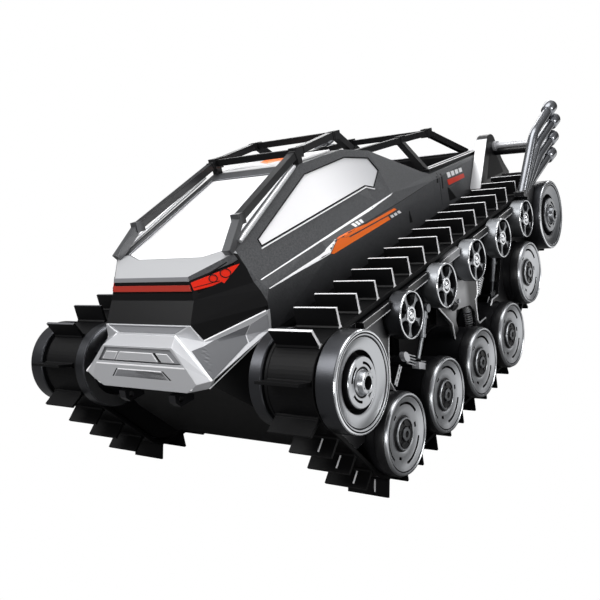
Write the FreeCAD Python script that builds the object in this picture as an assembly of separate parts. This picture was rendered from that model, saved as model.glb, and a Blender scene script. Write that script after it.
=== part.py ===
import FreeCAD, Part
import math, os
from FreeCAD import Vector as V

# Tracked chassis. Millimetres, +Z up, nose towards -Y, ground at z = 0.
# Everything is modelled with the front wheel axles at y = -152.6 and moved
# by SHIFT on the way out, so the overall box is centred on the origin.
SHIFT = V(0, -10.25, 0)

os.makedirs("parts", exist_ok=True)


# ---------------------------------------------------------------- helpers
def out(name, shape):
    s = shape.copy()
    s.translate(SHIFT)
    s.exportStep("parts/" + name + ".step")


def mirror(s):
    return s.mirror(V(0, 0, 0), V(1, 0, 0))


def both(s):
    return Part.makeCompound([s, mirror(s)])


def sides(name, s):
    out(name + "_left", s)
    out(name + "_right", mirror(s))


def fuse(items):
    r = items[0]
    if len(items) > 1:
        r = r.multiFuse(items[1:])
    return r.removeSplitter()


def group(items):
    sol = []
    for i in items:
        sol += i.Solids
    return Part.makeCompound(sol)


def prism(pts, axis, lo, hi):
    """Polygon of 2-D points swept along an axis: X takes (y, z), Y (x, z), Z (x, y)."""
    if axis == "X":
        p = [V(lo, a, b) for a, b in pts]
        d = V(hi - lo, 0, 0)
    elif axis == "Y":
        p = [V(a, lo, b) for a, b in pts]
        d = V(0, hi - lo, 0)
    else:
        p = [V(a, b, lo) for a, b in pts]
        d = V(0, 0, hi - lo)
    return Part.Face(Part.makePolygon(p + [p[0]])).extrude(d)


def box(x0, x1, y0, y1, z0, z1):
    return Part.makeBox(x1 - x0, y1 - y0, z1 - z0, V(x0, y0, z0))


def rod(p, q, r):
    p, q = V(*p), V(*q)
    return Part.makeCylinder(r, (q - p).Length, p, q - p)


def rodx(y, z, r, x0, x1):
    return Part.makeCylinder(r, x1 - x0, V(x0, y, z), V(1, 0, 0))


def bar(p, q, w, h, up=(0, 0, 1)):
    """Square-edged bar from p to q, w across and h along up."""
    p, q = V(*p), V(*q)
    d = (q - p)
    L = d.Length
    d.normalize()
    s = d.cross(V(*up))
    s.normalize()
    u = s.cross(d)
    c = [p + s * (a * w / 2) + u * (b * h / 2) for a, b in ((-1, -1), (1, -1), (1, 1), (-1, 1))]
    return Part.Face(Part.makePolygon(c + [c[0]])).extrude(d * L)


def turn(profile, y, z):
    """Profile of (x, r) points turned about the X axis through (y, z)."""
    p = [V(a, 0, b) for a, b in profile]
    s = Part.Face(Part.makePolygon(p + [p[0]])).revolve(V(0, 0, 0), V(1, 0, 0), 360)
    if s.Volume < 0:
        s.reverse()
    s.translate(V(0, y, z))
    return s


def hull(points):
    """Convex solid around a few points."""
    P = []
    for p in points:
        v = V(*p)
        if all((v - o).Length > 1e-4 for o in P):
            P.append(v)
    planes = []
    n = len(P)
    for i in range(n):
        for j in range(i + 1, n):
            for k in range(j + 1, n):
                m = (P[j] - P[i]).cross(P[k] - P[i])
                if m.Length < 1e-6:
                    continue
                m.normalize()
                s = [m.dot(q - P[i]) for q in P]
                if min(s) >= -1e-7:
                    m = m * -1
                    s = [-v for v in s]
                elif max(s) > 1e-7:
                    continue
                d = m.dot(P[i])
                if any((m - a).Length < 1e-6 and abs(d - b) < 1e-5 for a, b, c in planes):
                    continue
                planes.append((m, d, [q for q, v in zip(P, s) if v > -1e-6]))
    faces = []
    for m, d, on in planes:
        c = V(0, 0, 0)
        for q in on:
            c = c + q
        c = c * (1.0 / len(on))
        e = on[0] - c
        e.normalize()
        f = m.cross(e)
        flat = sorted(((q - c).dot(e), (q - c).dot(f), i) for i, q in enumerate(on))
        ring = []
        for chain in (flat, flat[::-1]):
            got = []
            for t in chain:
                while len(got) > 1 and ((got[-1][0] - got[-2][0]) * (t[1] - got[-2][1]) -
                                        (got[-1][1] - got[-2][1]) * (t[0] - got[-2][0])) <= 1e-9:
                    got.pop()
                got.append(t)
            ring += [on[t[2]] for t in got[:-1]]
        faces.append(Part.Face(Part.makePolygon(ring + [ring[0]])))
    sh = Part.makeShell(faces)
    s = Part.makeSolid(sh)
    if s.Volume < 0:
        s.reverse()
    return s


def mir(pts):
    return [(-x, y, z) for x, y, z in pts]


def plate(pts, depth, proud=0.0):
    """Flat plate under a polygon of 3-D points; depth is down into the surface."""
    p = [V(*q) for q in pts]
    m = (p[1] - p[0]).cross(p[2] - p[0])
    m.normalize()
    up = m * proud
    q = [a + up for a in p]
    # flatten onto the plane of the first three
    q = [a - m * (a - q[0]).dot(m) for a in q]
    return Part.Face(Part.makePolygon(q + [q[0]])).extrude(m * (-depth - proud))


# ---------------------------------------------------------------- layout
FY, FZ = -152.6, 85.0            # front guide wheel
RY, RZ = 154.1, 104.1            # rear drive wheel
ROAD = [(-113.3 + 55.9 * k, 37.4) for k in range(4)] + [(103.0, 70.6)]
SLOPE = (RZ - FZ) / (RY - FY)
ROLL = [(-86.2 + 48.9 * k, 99.0 + SLOPE * (48.9 * k)) for k in range(5)]
R_BIG, R_ROAD = 23.0, 23.85      # inside radius of the track on each
T_BELT, H_PAD, T_PAD = 2.5, 11.05, 1.6
N_PAD = 40


def loop_nodes(o):
    """Circles the track runs round, counter-clockwise seen from +X, grown by o."""
    return [(ROAD[0][0], ROAD[0][1], R_ROAD + o), (ROAD[3][0], ROAD[3][1], R_ROAD + o),
            (RY, RZ, R_BIG + o), (FY, FZ, R_BIG + o)]


def loop_path(o):
    c = loop_nodes(o)
    tang = []
    for i in range(4):
        a, b = c[i], c[(i + 1) % 4]
        dy, dz = b[0] - a[0], b[1] - a[1]
        L = math.hypot(dy, dz)
        tang.append(math.atan2(dz, dy) - math.acos((a[2] - b[2]) / L))
    path = []
    for i in range(4):
        a, b = c[i], c[(i + 1) % 4]
        f = tang[i]
        p = (a[0] + a[2] * math.cos(f), a[1] + a[2] * math.sin(f))
        q = (b[0] + b[2] * math.cos(f), b[1] + b[2] * math.sin(f))
        path.append(("line", p, q, f))
        g = tang[(i + 1) % 4]
        while g < f:
            g += 2 * math.pi
        path.append(("arc", b, f, g))
    return path


def loop_solid(o, x0, x1):
    edges = []
    for s in loop_path(o):
        if s[0] == "line":
            edges.append(Part.makeLine(V(x0, *s[1]), V(x0, *s[2])))
        else:
            (cy, cz, r), f, g = s[1], s[2], s[3]
            pt = [V(x0, cy + r * math.cos(t), cz + r * math.sin(t)) for t in (f, (f + g) / 2, g)]
            edges.append(Part.Arc(*pt).toShape())
    return Part.Face(Part.Wire(edges)).extrude(V(x1 - x0, 0, 0))


def seg_len(s):
    if s[0] == "line":
        return math.hypot(s[2][0] - s[1][0], s[2][1] - s[1][1])
    return s[1][2] * (s[3] - s[2])


def loop_at(path, t):
    total = sum(seg_len(s) for s in path)
    t %= total
    for s in path:
        L = seg_len(s)
        if t <= L:
            if s[0] == "line":
                k = t / L
                return (s[1][0] + k * (s[2][0] - s[1][0]), s[1][1] + k * (s[2][1] - s[1][1]), s[3])
            (cy, cz, r), f = s[1], s[2]
            a = f + t / r
            return (cy + r * math.cos(a), cz + r * math.sin(a), a)
        t -= L


# ---------------------------------------------------------------- tracks
def paddle(y, z, a):
    n = (math.cos(a), math.sin(a))
    t = (-n[1], n[0])
    h = T_PAD / 2
    pts = []
    for u, v in ((-h, -0.5), (h, -0.5), (h, H_PAD), (-h, H_PAD)):
        pts.append((y + t[0] * u + n[0] * v, z + t[1] * u + n[1] * v))
    return prism(pts, "X", 78.0, 105.2)


path = loop_path(T_BELT)
total = sum(seg_len(s) for s in path)
belt = loop_solid(T_BELT, 75.0, 106.0).cut(loop_solid(0.0, 74.0, 107.0))
# phase: one paddle stands straight behind the front wheel's crown
run_up = sum(seg_len(s) for s in path[:6])          # start of the upper run
start = run_up + (path[6][1][0] - (-147.2)) / math.cos(math.atan(SLOPE))
track = belt.multiFuse([paddle(*loop_at(path, start + i * total / N_PAD)) for i in range(N_PAD)])
track = track.removeSplitter()
sides("track", track)


# ---------------------------------------------------------------- wheels
def slots(s, y, z, r0, r1, x0, x1, n, span, first=0.0):
    cut = []
    for i in range(n):
        c = Part.makeCylinder(r1, x1 - x0, V(x0, 0, 0), V(1, 0, 0), span)
        c = c.cut(Part.makeCylinder(r0, x1 - x0 + 2, V(x0 - 1, 0, 0), V(1, 0, 0)))
        c.rotate(V(0, 0, 0), V(1, 0, 0), first + 360.0 * i / n)
        c.translate(V(0, y, z))
        cut.append(c)
    return s.cut(Part.makeCompound(cut))


def big_wheel(y, z, bore):
    p = [(66, bore), (66, 7), (104, 7), (104, 19.6), (66, 19.6), (66, 26.6), (66.5, 27.1), (74, 27.1),
         (74.5, 26.6), (74.5, 22.6), (108, 22.6), (108, 26.6), (108.5, 27.1), (119.2, 27.1), (120, 26.3),
         (120, 25.4), (119.2, 25.0), (119.2, 24.4), (120, 24.0), (120, 22.7), (119.4, 22.2), (111.5, 20.4),
         (110.6, 19.4), (110.6, 14.4), (111, 14.0), (119.6, 13.8), (120, 13.4), (120, 7.3), (120.3, 6.9),
         (122.2, 6.6), (122.5, 6.2), (122.5, 3.8), (122.2, 3.5), (113, 3.5), (113, bore)]
    return slots(turn(p, y, z), y, z, 9.3, 10.9, 117.5, 121, 4, 52, 20)


def road_wheel(y, z):
    p = [(83, 3.05), (83, 7), (104, 7), (104, 20), (83, 20), (83, 23.1), (83.4, 23.5), (109.2, 23.5),
         (109.8, 24.1), (115.6, 24.1), (116.7, 23.6), (117, 22.6), (116.7, 21.4), (115.8, 20.7), (112.6, 18.6),
         (111.2, 15.5), (110.8, 12.0), (111.0, 9.6), (111.6, 9.2), (116.2, 9.2), (116.8, 8.7), (117, 8.2),
         (117, 4.4), (114.2, 4.4), (114.2, 3.05)]
    return slots(turn(p, y, z), y, z, 14.6, 16.4, 109.4, 116, 4, 50, 12)


def roller(y, z):
    p = [(83, 1.8), (83, 5), (104.2, 5), (104.2, 10.8), (83, 10.8), (83, 12.2), (83.4, 12.6), (106.4, 12.6),
         (106.4, 13.7), (106.8, 14.1), (115.6, 14.1), (116, 13.7), (116, 13.0), (115.6, 12.7), (107.4, 12.5),
         (107.0, 12.1), (107.0, 5.6), (107.4, 5.2), (115.0, 5.2), (115.4, 4.8), (115.4, 2.9), (112.5, 2.9),
         (112.5, 1.8)]
    s = turn(p, y, z)
    arms = []
    for i in range(6):
        b = box(108.5, 114.6, -0.8, 0.8, 4.9, 12.9)
        b.rotate(V(0, 0, 0), V(1, 0, 0), 60 * i + 10)
        b.translate(V(0, y, z))
        arms.append(b)
    s = s.multiFuse(arms).removeSplitter()
    return s


sides("front_wheel", big_wheel(FY, FZ, 2.55))
sides("rear_wheel", big_wheel(RY, RZ, 2.5))
for i, (y, z) in enumerate(ROAD):
    sides("road_wheel_%d" % (i + 1), road_wheel(y, z))
for i, (y, z) in enumerate(ROLL):
    sides("return_roller_%d" % (i + 1), roller(y, z))

# Shoulder bolts the idle wheels turn on, head at the outer end.
bolts = [turn([(55.5, 0), (55.5, 2.5), (58.0, 2.5), (58.0, 5.5), (65.6, 5.5), (65.6, 2.5), (113.3, 2.5),
               (113.3, 3.2), (116, 3.2), (116, 0)], FY, FZ)]
for y, z in ROAD:
    bolts.append(turn([(76.5, 0), (76.5, 3.0), (114.5, 3.0), (114.5, 4.0), (116.6, 4.0), (116.6, 1.6),
                       (115.4, 1.6), (115.4, 0)], y, z))
for y, z in ROLL:
    bolts.append(turn([(76.5, 0), (76.5, 1.75), (112.8, 1.75), (112.8, 2.6), (115.0, 2.6), (116.0, 2.1),
                       (116.6, 1.2), (116.8, 0)], y, z))
out("axle_bolts", group([both(b) for b in bolts]))

# Driven shaft: through a bearing in the tub wall into the gearbox.
shaft = turn([(30, 0), (30, 2.5), (113.0, 2.5), (113.0, 3.2), (116, 3.2), (116, 0)], RY, RZ)
shaft = shaft.fuse(rodx(RY, RZ, 6.0, 59.0, 66.0)).removeSplitter()
sides("drive_shaft", shaft)

# ---------------------------------------------------------------- inner side plate
plate_in = loop_solid(-1.6, 77.0, 82.0)
for y, z in ((FY, FZ), (RY, RZ)):
    plate_in = plate_in.cut(rodx(y, z, 24.2, 76, 83))
holes = []
for y, z in [(-60, 68), (-4, 70)]:
    holes.append(prism([(y - 14, z - 9), (y + 10, z - 9), (y + 14, z + 11), (y - 10, z + 11)], "X", 76, 83))
plate_in = plate_in.cut(Part.makeCompound(holes))
boss = [rodx(y, z, 5.5, 82, 82.7) for y, z in ROAD] + [rodx(y, z, 4, 82, 82.7) for y, z in ROLL]
STRUT = [(-82, 74), (-28, 62), (24, 66), (78, 84)]
legs = [box(58.0, 77.0, y - 5, y + 5, z - 4, z + 4) for y, z in STRUT]
frame = plate_in.multiFuse(boss + legs).removeSplitter()
frame = frame.cut(Part.makeCompound([rodx(y, z, 3.0, 76.5, 83) for y, z in ROAD] +
                                    [rodx(y, z, 1.75, 76.5, 83) for y, z in ROLL]))
sides("track_frame", frame)

# ---------------------------------------------------------------- outer side cover
region = loop_solid(-1.4, 101.5, 104.0).common(box(90, 110, -200, 200, 43.0, 140))
clear = [rodx(FY, FZ, 24.0, 95, 103.9), rodx(RY, RZ, 24.0, 95, 103.9), rodx(FY, FZ, 28.0, 103.9, 118),
         rodx(RY, RZ, 28.0, 103.9, 118)]
clear += [rodx(y, z, 24.4, 80, 118) for y, z in ROAD] + [rodx(y, z, 13.4, 80, 106) for y, z in ROLL]
clear += [rodx(y, z, 14.9, 105.9, 120) for y, z in ROLL]
bay1 = prism([(-88.5, 89.5), (-95.5, 88), (-102, 63), (-94.5, 49), (-84, 45.2), (-30, 45.2), (-19, 48.4), (-11.5, 49), (-13.7, 68.3),
              (-38, 92.5), (-49, 91)], "X", 100, 106)
bay2 = prism([(30, 75), (26, 58), (28, 54.5), (46, 55), (55, 64), (66, 64), (70, 70), (82, 93), (72, 97), (48, 95), (33, 90)],
             "X", 100, 106)
bay_mid = prism([(-5.2, 75.5), (6.7, 73.7), (16.4, 72), (22.8, 66), (22.8, 57), (18.0, 50.5), (8, 50.6), (-3.3, 55), (-8.1, 68.7)], "X", 100, 106)
z_in = lambda y: FZ + R_BIG * 1.0019 + SLOPE * (y - FY)
ledge = prism([(-128, z_in(-128) - 1.2), (128, z_in(128) - 1.2), (128, z_in(128) - 5.2), (-128, z_in(-128) - 5.2)],
              "X", 103.0, 109.5)
cover = region.cut(Part.makeCompound([bay1, bay2, bay_mid])).fuse(ledge)
cover = cover.cut(Part.makeCompound(clear))
cover = cover.removeSplitter()
keep = [s for s in cover.Solids if s.Volume > 60]
POST = [(-127.0, 61.5), (-61.8, 101.0), (-12.8, 103.0), (-1.0, 80.5), (36.0, 104.5), (84.0, 50.0), (85.0, 107.5)]
cover = group(keep)
posts = [rodx(y, z, 2.2, 82.0, 102.5) for y, z in POST]
cover = cover.multiFuse(posts).removeSplitter()
cover = group([s for s in cover.Solids if s.Volume > 60])

# exhaust bracket grows out of the ledge between the last roller and the rear wheel
brk = prism([(121, 118), (128, 118), (137, 131.5), (137, 135), (113.5, 131.0), (113.5, 127.6), (120, 125.8)], "X", 106.6, 114.2)
brk = brk.cut(Part.makeCompound([rodx(RY, RZ, 28.2, 100, 120), rodx(ROLL[4][0], ROLL[4][1], 15.2, 100, 120)]))
brk = brk.fuse(box(104.0, 107.0, 124.5, 129.5, 118, 121.4))
cover = cover.fuse(brk).removeSplitter()
cover = group([s for s in cover.Solids if s.Volume > 60])
sides("side_cover", cover)


# ---------------------------------------------------------------- dampers and springs behind the bays
def coil(p, q, r, n):
    """Spring drawn as a grooved sleeve between p and q."""
    p, q = V(*p), V(*q)
    L = (q - p).Length
    prof = [V(0, 0, 0), V(0, 0, r)]
    step = L / n
    for i in range(n):
        x = i * step
        prof += [V(x + step * 0.5, 0, r), V(x + step * 0.5, 0, r * 0.72), V(x + step * 0.95, 0, r * 0.72), V(x + step * 0.95, 0, r)]
    prof += [V(L, 0, r), V(L, 0, 0)]
    clean = [prof[0]]
    for a in prof[1:]:
        if (a - clean[-1]).Length > 1e-3:
            clean.append(a)
    s = Part.Face(Part.makePolygon(clean + [clean[0]])).revolve(V(0, 0, 0), V(1, 0, 0), 360)
    if s.Volume < 0:
        s.reverse()
    d = q - p
    rot = FreeCAD.Rotation(V(1, 0, 0), d)
    s.Placement = FreeCAD.Placement(p, rot)
    return s


X1, X2, X3 = 108.0, 98.0, 97.0
damper1 = fuse([rod((X1, -56.4, 93.5), (X1, -65.1, 78.0), 2.4), rod((X1, -64.6, 79.0), (X1, -73.6, 67.1), 1.6),
                box(X1 - 2.5, X1 + 2.5, -77.5, -69.5, 59.5, 66.5),
                rodx(-56.4, 93.5, 2.8, 104.0, X1 + 2.8), rodx(-73.5, 63.0, 2.0, 82.0, X1 + 1)])
damper2 = fuse([rod((X2, 80.3, 90.8), (X2, 74.2, 72.3), 2.4), rod((X2, 74.4, 73.0), (X2, 70.6, 65.0), 1.6),
                box(X2 - 2.5, X2 + 2.5, 68.5, 76.0, 58.5, 65.0),
                rodx(80.3, 90.8, 2.8, 82.0, X2 + 3), rodx(72.2, 61.6, 2.0, 82.0, X2 + 2)])
out("dampers", group([both(damper1), both(damper2)]))
spring1 = fuse([coil((X3, 53.4, 81.9), (X3, 42.9, 71.8), 3.4, 7), rodx(53.4, 81.9, 2.2, 82.0, X3), rodx(42.9, 71.8, 2.2, 82.0, X3)])
spring2 = fuse([coil((X3, 26.6, 68.3), (X3, 26.9, 46.8), 3.4, 8), rodx(26.6, 68.3, 2.2, 82.0, X3), rodx(26.9, 46.8, 2.2, 82.0, X3)])
out("coil_springs", group([both(spring1), both(spring2)]))

# ---------------------------------------------------------------- body envelope
LINE_R = [(-148.0, 47.0, 154.0), (-59.0, 36.5, 188.6), (-12.7, 39.6, 190.6), (12.7, 44.8, 185.3), (72.0, 54.5, 158.4), (172.0, 58.0, 158.4)]
LINE_U = [(-144.0, 57.0, 137.0), (8.0, 61.0, 155.0), (72.0, 58.5, 156.6), (172.0, 59.6, 156.6)]
LINE_D = [(-142.8, 62.0, 132.0), (-82.0, 64.0, 136.0), (-74.0, 64.0, 141.6), (12.7, 63.8, 148.0), (72.0, 61.2, 152.0), (172.0, 60.0, 153.0)]
LINE_S = [(-145.2, 62.0, 108.9), (-82.0, 62.0, 114.0), (12.7, 62.0, 121.6), (72.0, 60.6, 126.5), (150.0, 60.0, 130.5), (172.0, 60.0, 131.0)]


def on(line, y):
    a, b = line[0], line[1]
    for i in range(len(line) - 1):
        a, b = line[i], line[i + 1]
        if y <= b[0]:
            break
    k = (y - a[0]) / (b[0] - a[0])
    return (a[1] + k * (b[1] - a[1]), a[2] + k * (b[2] - a[2]))


def station(y, t, drop, at=None):
    """Left half of a section, skin moved in by t, sill lowered by drop."""
    yy = y if at is None else at
    r, u, d, s = on(LINE_R, y), on(LINE_U, y), on(LINE_D, y), on(LINE_S, y)
    return [(r[0] - 1.2 * t, yy, r[1] - t), (u[0] - t, yy, u[1]), (d[0] - t, yy, d[1]), (s[0] - t, yy, s[1] - drop)]


NOSE = {"n1": (29.4, -168.4, 146.7), "n3": (33.1, -171.6, 134.2), "n4": (33.65, -178.7, 122.5), "n5": (38.0, -175.4, 112.4),
        "P": (47.0, -148.0, 154.0), "C": (57.0, -144.0, 137.0), "D": (62.0, -142.8, 132.0), "E": (62.0, -147.2, 123.8),
        "G": (62.0, -145.2, 108.9), "B": (38.0, -174.0, 108.0)}


def nose_pts(t, drop):
    if t == 0:
        return dict(NOSE)
    q = {}
    for k, (x, y, z) in NOSE.items():
        q[k] = (x - t, y + t * 1.1, z)
    q["n1"] = (NOSE["n1"][0] - t * 0.7, NOSE["n1"][1] + t * 1.2, NOSE["n1"][2] - t)
    q["P"] = (NOSE["P"][0] - t, NOSE["P"][1] + t * 0.6, NOSE["P"][2] - t)
    q["G"] = (NOSE["G"][0] - t, NOSE["G"][1] + t, NOSE["G"][2] - drop)
    q["B"] = (NOSE["B"][0] - t, NOSE["B"][1] + t, NOSE["B"][2] - drop)
    return q


def envelope(t, drop, y_end):
    n = nose_pts(t, drop)
    f = station(-140.0, t, drop)
    up = [n["n1"], n["n3"], n["P"], n["C"], f[0], f[1]]
    lo = [n["n3"], n["n4"], n["n5"], n["B"], n["C"], n["D"], n["E"], n["G"], f[1], f[2], f[3]]
    parts = [hull(up + mir(up)), hull(lo + mir(lo))]
    ys = [-140.0, -82.0, -74.0, -59.0, -12.7, 8.0, 12.7, 72.0, y_end]
    for a, b in zip(ys[:-1], ys[1:]):
        p, q = station(a, t, drop), station(b, t, drop)
        for s in (p[:2] + q[:2], p[1:] + q[1:]):
            parts.append(hull(s + mir(s)))
    return fuse(parts)


E = envelope(0, 0, 172.0)
I = envelope(2.4, 8.0, 169.0)
bed = fuse([prism([(31, 200), (31, 184), (66, 135), (80, 135), (80, 200)], "X", -43, 43), box(-50, 50, 74, 169.4, 135, 200)])
bed_out = fuse([prism([(28.4, 200), (28.4, 183.2), (64.6, 132.6), (82, 132.6), (82, 200)], "X", -45.4, 45.4),
                box(-52.4, 52.4, 71.6, 200, 132.6, 200)])
shell = E.cut(bed).cut(I.cut(bed_out))

# side glass: opening on the plane through the upper crease and the roof line
def on_glass(y, z):
    # plane of the cabin side
    x = 57.0 + (0.07977 * (y + 144.0) - 0.47944 * (z - 137.0)) / 0.87394
    return (x, y, z)


GLASS = [(-126.9, 156.4), (-127.0, 152.6), (-13.2, 164.9), (-5.8, 162.2), (9.7, 171.3), (7.5, 180.8), (-14.7, 185.4), (-60.4, 182.2)]
gl = [on_glass(y, z) for y, z in GLASS]
gl_open = plate(gl, 6.0, 4.0)
pane = plate(gl, 1.9, -0.5)
shell = shell.cut(Part.makeCompound([gl_open, mirror(gl_open)]))


# windscreen on the plane from the hood to the roof edge
def on_screen(x, y):
    return (x, y, 154.0 + 34.6 / 89.0 * (y + 148.0))


WS = [on_screen(-25.5, -151.0), on_screen(25.5, -151.0), on_screen(39.6, -145.0), on_screen(31.0, -66.5), on_screen(-31.0, -66.5),
      on_screen(-39.6, -145.0)]
ws_open = plate(WS, 6.0, 4.0)
screen = plate(WS, 2.2, -0.6)
shell = shell.cut(ws_open)

# nose parts are split off in front of this plane
front = box(-80, 80, -260, -146.0, 60, 200)
nose = shell.common(front)
cabin = shell.cut(front)
hood_pts = [NOSE["n1"], NOSE["P"], (-47.0, -148.0, 154.0), (-29.4, -168.4, 146.7)]
hood_cut = hull([(29.4, -168.4, 146.7), (-29.4, -168.4, 146.7), (47.0, -148.0, 154.0), (-47.0, -148.0, 154.0),
                 (29.4, -168.4, 149.7), (-29.4, -168.4, 149.7), (48.0, -146.0, 158.0), (-48.0, -146.0, 158.0),
                 (29.8, -168.8, 144.7), (-29.8, -168.8, 144.7), (47.6, -146.0, 152.0), (-47.6, -146.0, 152.0)])
hood = nose.common(hood_cut)
nose = nose.cut(hood_cut)
hood = group([s for s in hood.Solids if s.Volume > 20])
nose = group([s for s in nose.Solids if s.Volume > 60])

# red light bar across the nose and a lamp each side
BAR = [(-31.0, -169.6, 142.6), (-32.3, -170.9, 138.0), (32.3, -170.9, 138.0), (31.0, -169.6, 142.6)]
bar_s = plate(BAR, 1.4, 0.5)


def on_facet(a, b):
    """Point on the lamp facet: a along the lip, b down to the crease."""
    n1, n3, P, C = [V(*NOSE[k]) for k in ("n1", "n3", "P", "C")]
    top = n1 + (P - n1) * a
    low = n3 + (C - n3) * a
    q = top + (low - top) * b
    return (q.x, q.y, q.z)


LAMP = [on_facet(0.06, 0.38), on_facet(0.10, 0.80), on_facet(0.86, 0.42), on_facet(0.90, 0.14)]
lamp = plate(LAMP, 1.6, 0.9)
lamps = both(lamp)
nose = nose.cut(Part.makeCompound([bar_s, lamp, mirror(lamp)]))
nose = group([s for s in nose.Solids if s.Volume > 60])

out("body_shell", cabin)
out("hood", hood)
out("nose_panel", nose)
out("light_bar", bar_s)
out("headlights", lamps)
out("windscreen", screen)
out("side_windows", both(pane))

rear_glass = plate([(-34, 35.6, 177.56), (34, 35.6, 177.56), (38, 60, 143.4), (-38, 60, 143.4)], 0.0, 1.4)
out("rear_window", rear_glass)

# roof panel lies on the flat of the roof
def on_roof(x, y):
    return (x, y, 188.6 + 2.0 / 46.3 * (y + 59.0))


roof = plate([on_roof(-29, -57), on_roof(29, -57), on_roof(32, -15), on_roof(-32, -15)], 0.0, 1.3)
roof2 = Part.makeCompound([roof])
out("roof_panel", roof2)

# ---------------------------------------------------------------- bumper
def fan(tris, back):
    """Thick faceted sheet: each facet swept straight back, then joined."""
    got = []
    for t in tris:
        p = [V(*q) for q in t]
        got.append(Part.Face(Part.makePolygon(p + [p[0]])).extrude(V(0, back, 0)))
    return fuse(got)


A1, S1, F1, F2 = (33.65, -179.3, 122.5), (23.5, -181.6, 117.3), (27.5, -190.0, 113.6), (35.5, -191.3, 103.5)
F3, A4, T, TB = (41.5, -191.5, 94.0), (33.2, -191.5, 88.8), (50.0, -188.0, 95.5), (46.0, -187.0, 90.5)
N, W1, W2 = (38.0, -176.5, 112.8), (62.5, -148.0, 121.5), (62.5, -150.0, 110.0)


def m1(p):
    return (-p[0], p[1], p[2])


half = [(A1, N, S1), (N, T, S1), (N, W1, W2), (N, W2, T), (S1, T, F1), (F1, T, F2), (F2, T, F3), (F3, T, TB), (F3, TB, A4)]
tris = list(half) + [tuple(m1(p) for p in t) for t in half]
for p, q in ((A1, S1), (S1, F1), (F1, F2), (F2, F3), (F3, A4)):
    tris += [(p, q, m1(q)), (p, m1(q), m1(p))]
bumper = fan(tris, 9.0)
bumper = bumper.cut(E)
GR = [(-26.5, -190.13, 112.6), (-33.0, -191.17, 104.5), (33.0, -191.17, 104.5), (26.5, -190.13, 112.6)]
pocket = plate(GR, 3.0, 2.0)
bumper = bumper.cut(pocket)
bumper = group([s for s in bumper.Solids if s.Volume > 100])

# ---------------------------------------------------------------- lower tub
top = [(s[0], s[2]) for s in LINE_S]
prof = [(-179.0, 108.0), (-181.5, 92.0), (-124.0, 26.5), (122.0, 26.5), (178.0, 74.0), (178.0, 131.2), (172.0, 131.0)]
prof += [(y, z) for y, z in reversed(top[:-1])] + [(-174.0, 108.0)]
prof_in = [(-176.5, 106.0), (-178.6, 92.8), (-122.8, 29.0), (121.0, 29.0), (175.4, 75.2), (175.4, 140.0), (-174.0, 140.0)]
plan = [(-58, -150), (-37, -183.0), (37, -183.0), (58, -150), (58, 180), (-58, 180)]
plan_in = [(-55.5, -149), (-35.5, -180.5), (35.5, -180.5), (55.5, -149), (55.5, 177), (-55.5, 177)]
flange_yz = top + [(y, z - 3.0) for y, z in reversed(top)]
tub = prism(prof, "X", -60, 60).common(prism(plan, "Z", 0, 200))
tub_in = prism(prof_in, "X", -60, 60).common(prism(plan_in, "Z", 0, 200))
flange = prism(flange_yz, "X", -61.5, 61.5).cut(prism(flange_yz, "X", -55.5, 55.5))
flange = flange.common(box(-70, 70, -145.0, 172, 0, 200))
tub = tub.fuse(flange).cut(tub_in)
tub = tub.cut(E).removeSplitter()
# bearings for the driven shafts and seats for the front wheel bolts
pads = [rodx(RY, RZ, 8.0, 52.0, 58.6), rodx(FY, FZ, 8.0, 52.0, 57.9)]
tub = tub.multiFuse(pads + [mirror(p) for p in pads]).removeSplitter()
cuts = [rodx(RY, RZ, 2.55, 50, 60), rodx(FY, FZ, 2.5, 55.5, 60)]
tub = tub.cut(Part.makeCompound(cuts + [mirror(c) for c in cuts]))
# floor opening closed by the belly plate
tub = tub.cut(box(-36, 36, -70, 60, 20, 40))
tub = group([s for s in tub.Solids if s.Volume > 500])
out("lower_hull", tub)

bumper = bumper.cut(prism(prof, "X", -60, 60).common(prism(plan, "Z", 0, 200)))
bumper = group([s for s in bumper.Solids if s.Volume > 100])
out("front_bumper", bumper)
grille = plate(GR, 3.0, -2.0)
bars = [box(-15.0, 15.0, -190.4, -187.6, 105.6, 110.6), box(-29.5, -19.0, -190.2, -187.6, 105.6, 109.6), box(19.0, 29.5, -190.2, -187.6, 105.6, 109.6)]
grille = grille.multiFuse(bars)
grille = grille.common(pocket).removeSplitter()
grille = group([s for s in grille.Solids if s.Volume > 10])
out("bumper_grille", grille)

belly = box(-36, 36, -70, 60, 26.5, 29.0).fuse(box(-41, 41, -75, 65, 24.5, 26.5)).removeSplitter()
out("belly_plate", belly)
belly_screws = []
for x in (-38.5, 38.5):
    for y in (-72, -5, 62):
        belly_screws.append(Part.makeCylinder(1.7, 1.2, V(x, y, 23.3), V(0, 0, 1)))
cover_screws = []
for y, z in POST:
    for sx in (1, -1):
        cover_screws.append(Part.makeCylinder(1.5, 1.2, V(sx * 104.0, y, z), V(sx, 0, 0)))
out("screws", group(belly_screws + cover_screws))

# tow eyes under the bumper
hooks = []
for x in (-20.0, 20.0):
    h = prism([(-184.2, 86.0), (-190.5, 86.0), (-191.0, 82.0), (-188.0, 78.5), (-177.0, 78.5), (-176.6, 81.4)], "X", x - 2.5, x + 2.5)
    h = h.cut(rodx(-186.4, 82.4, 1.9, x - 4, x + 4))
    hooks.append(h)
hooks = [h.cut(prism(prof, "X", -60, 60)) for h in hooks]
out("tow_eyes", group(hooks))

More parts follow.
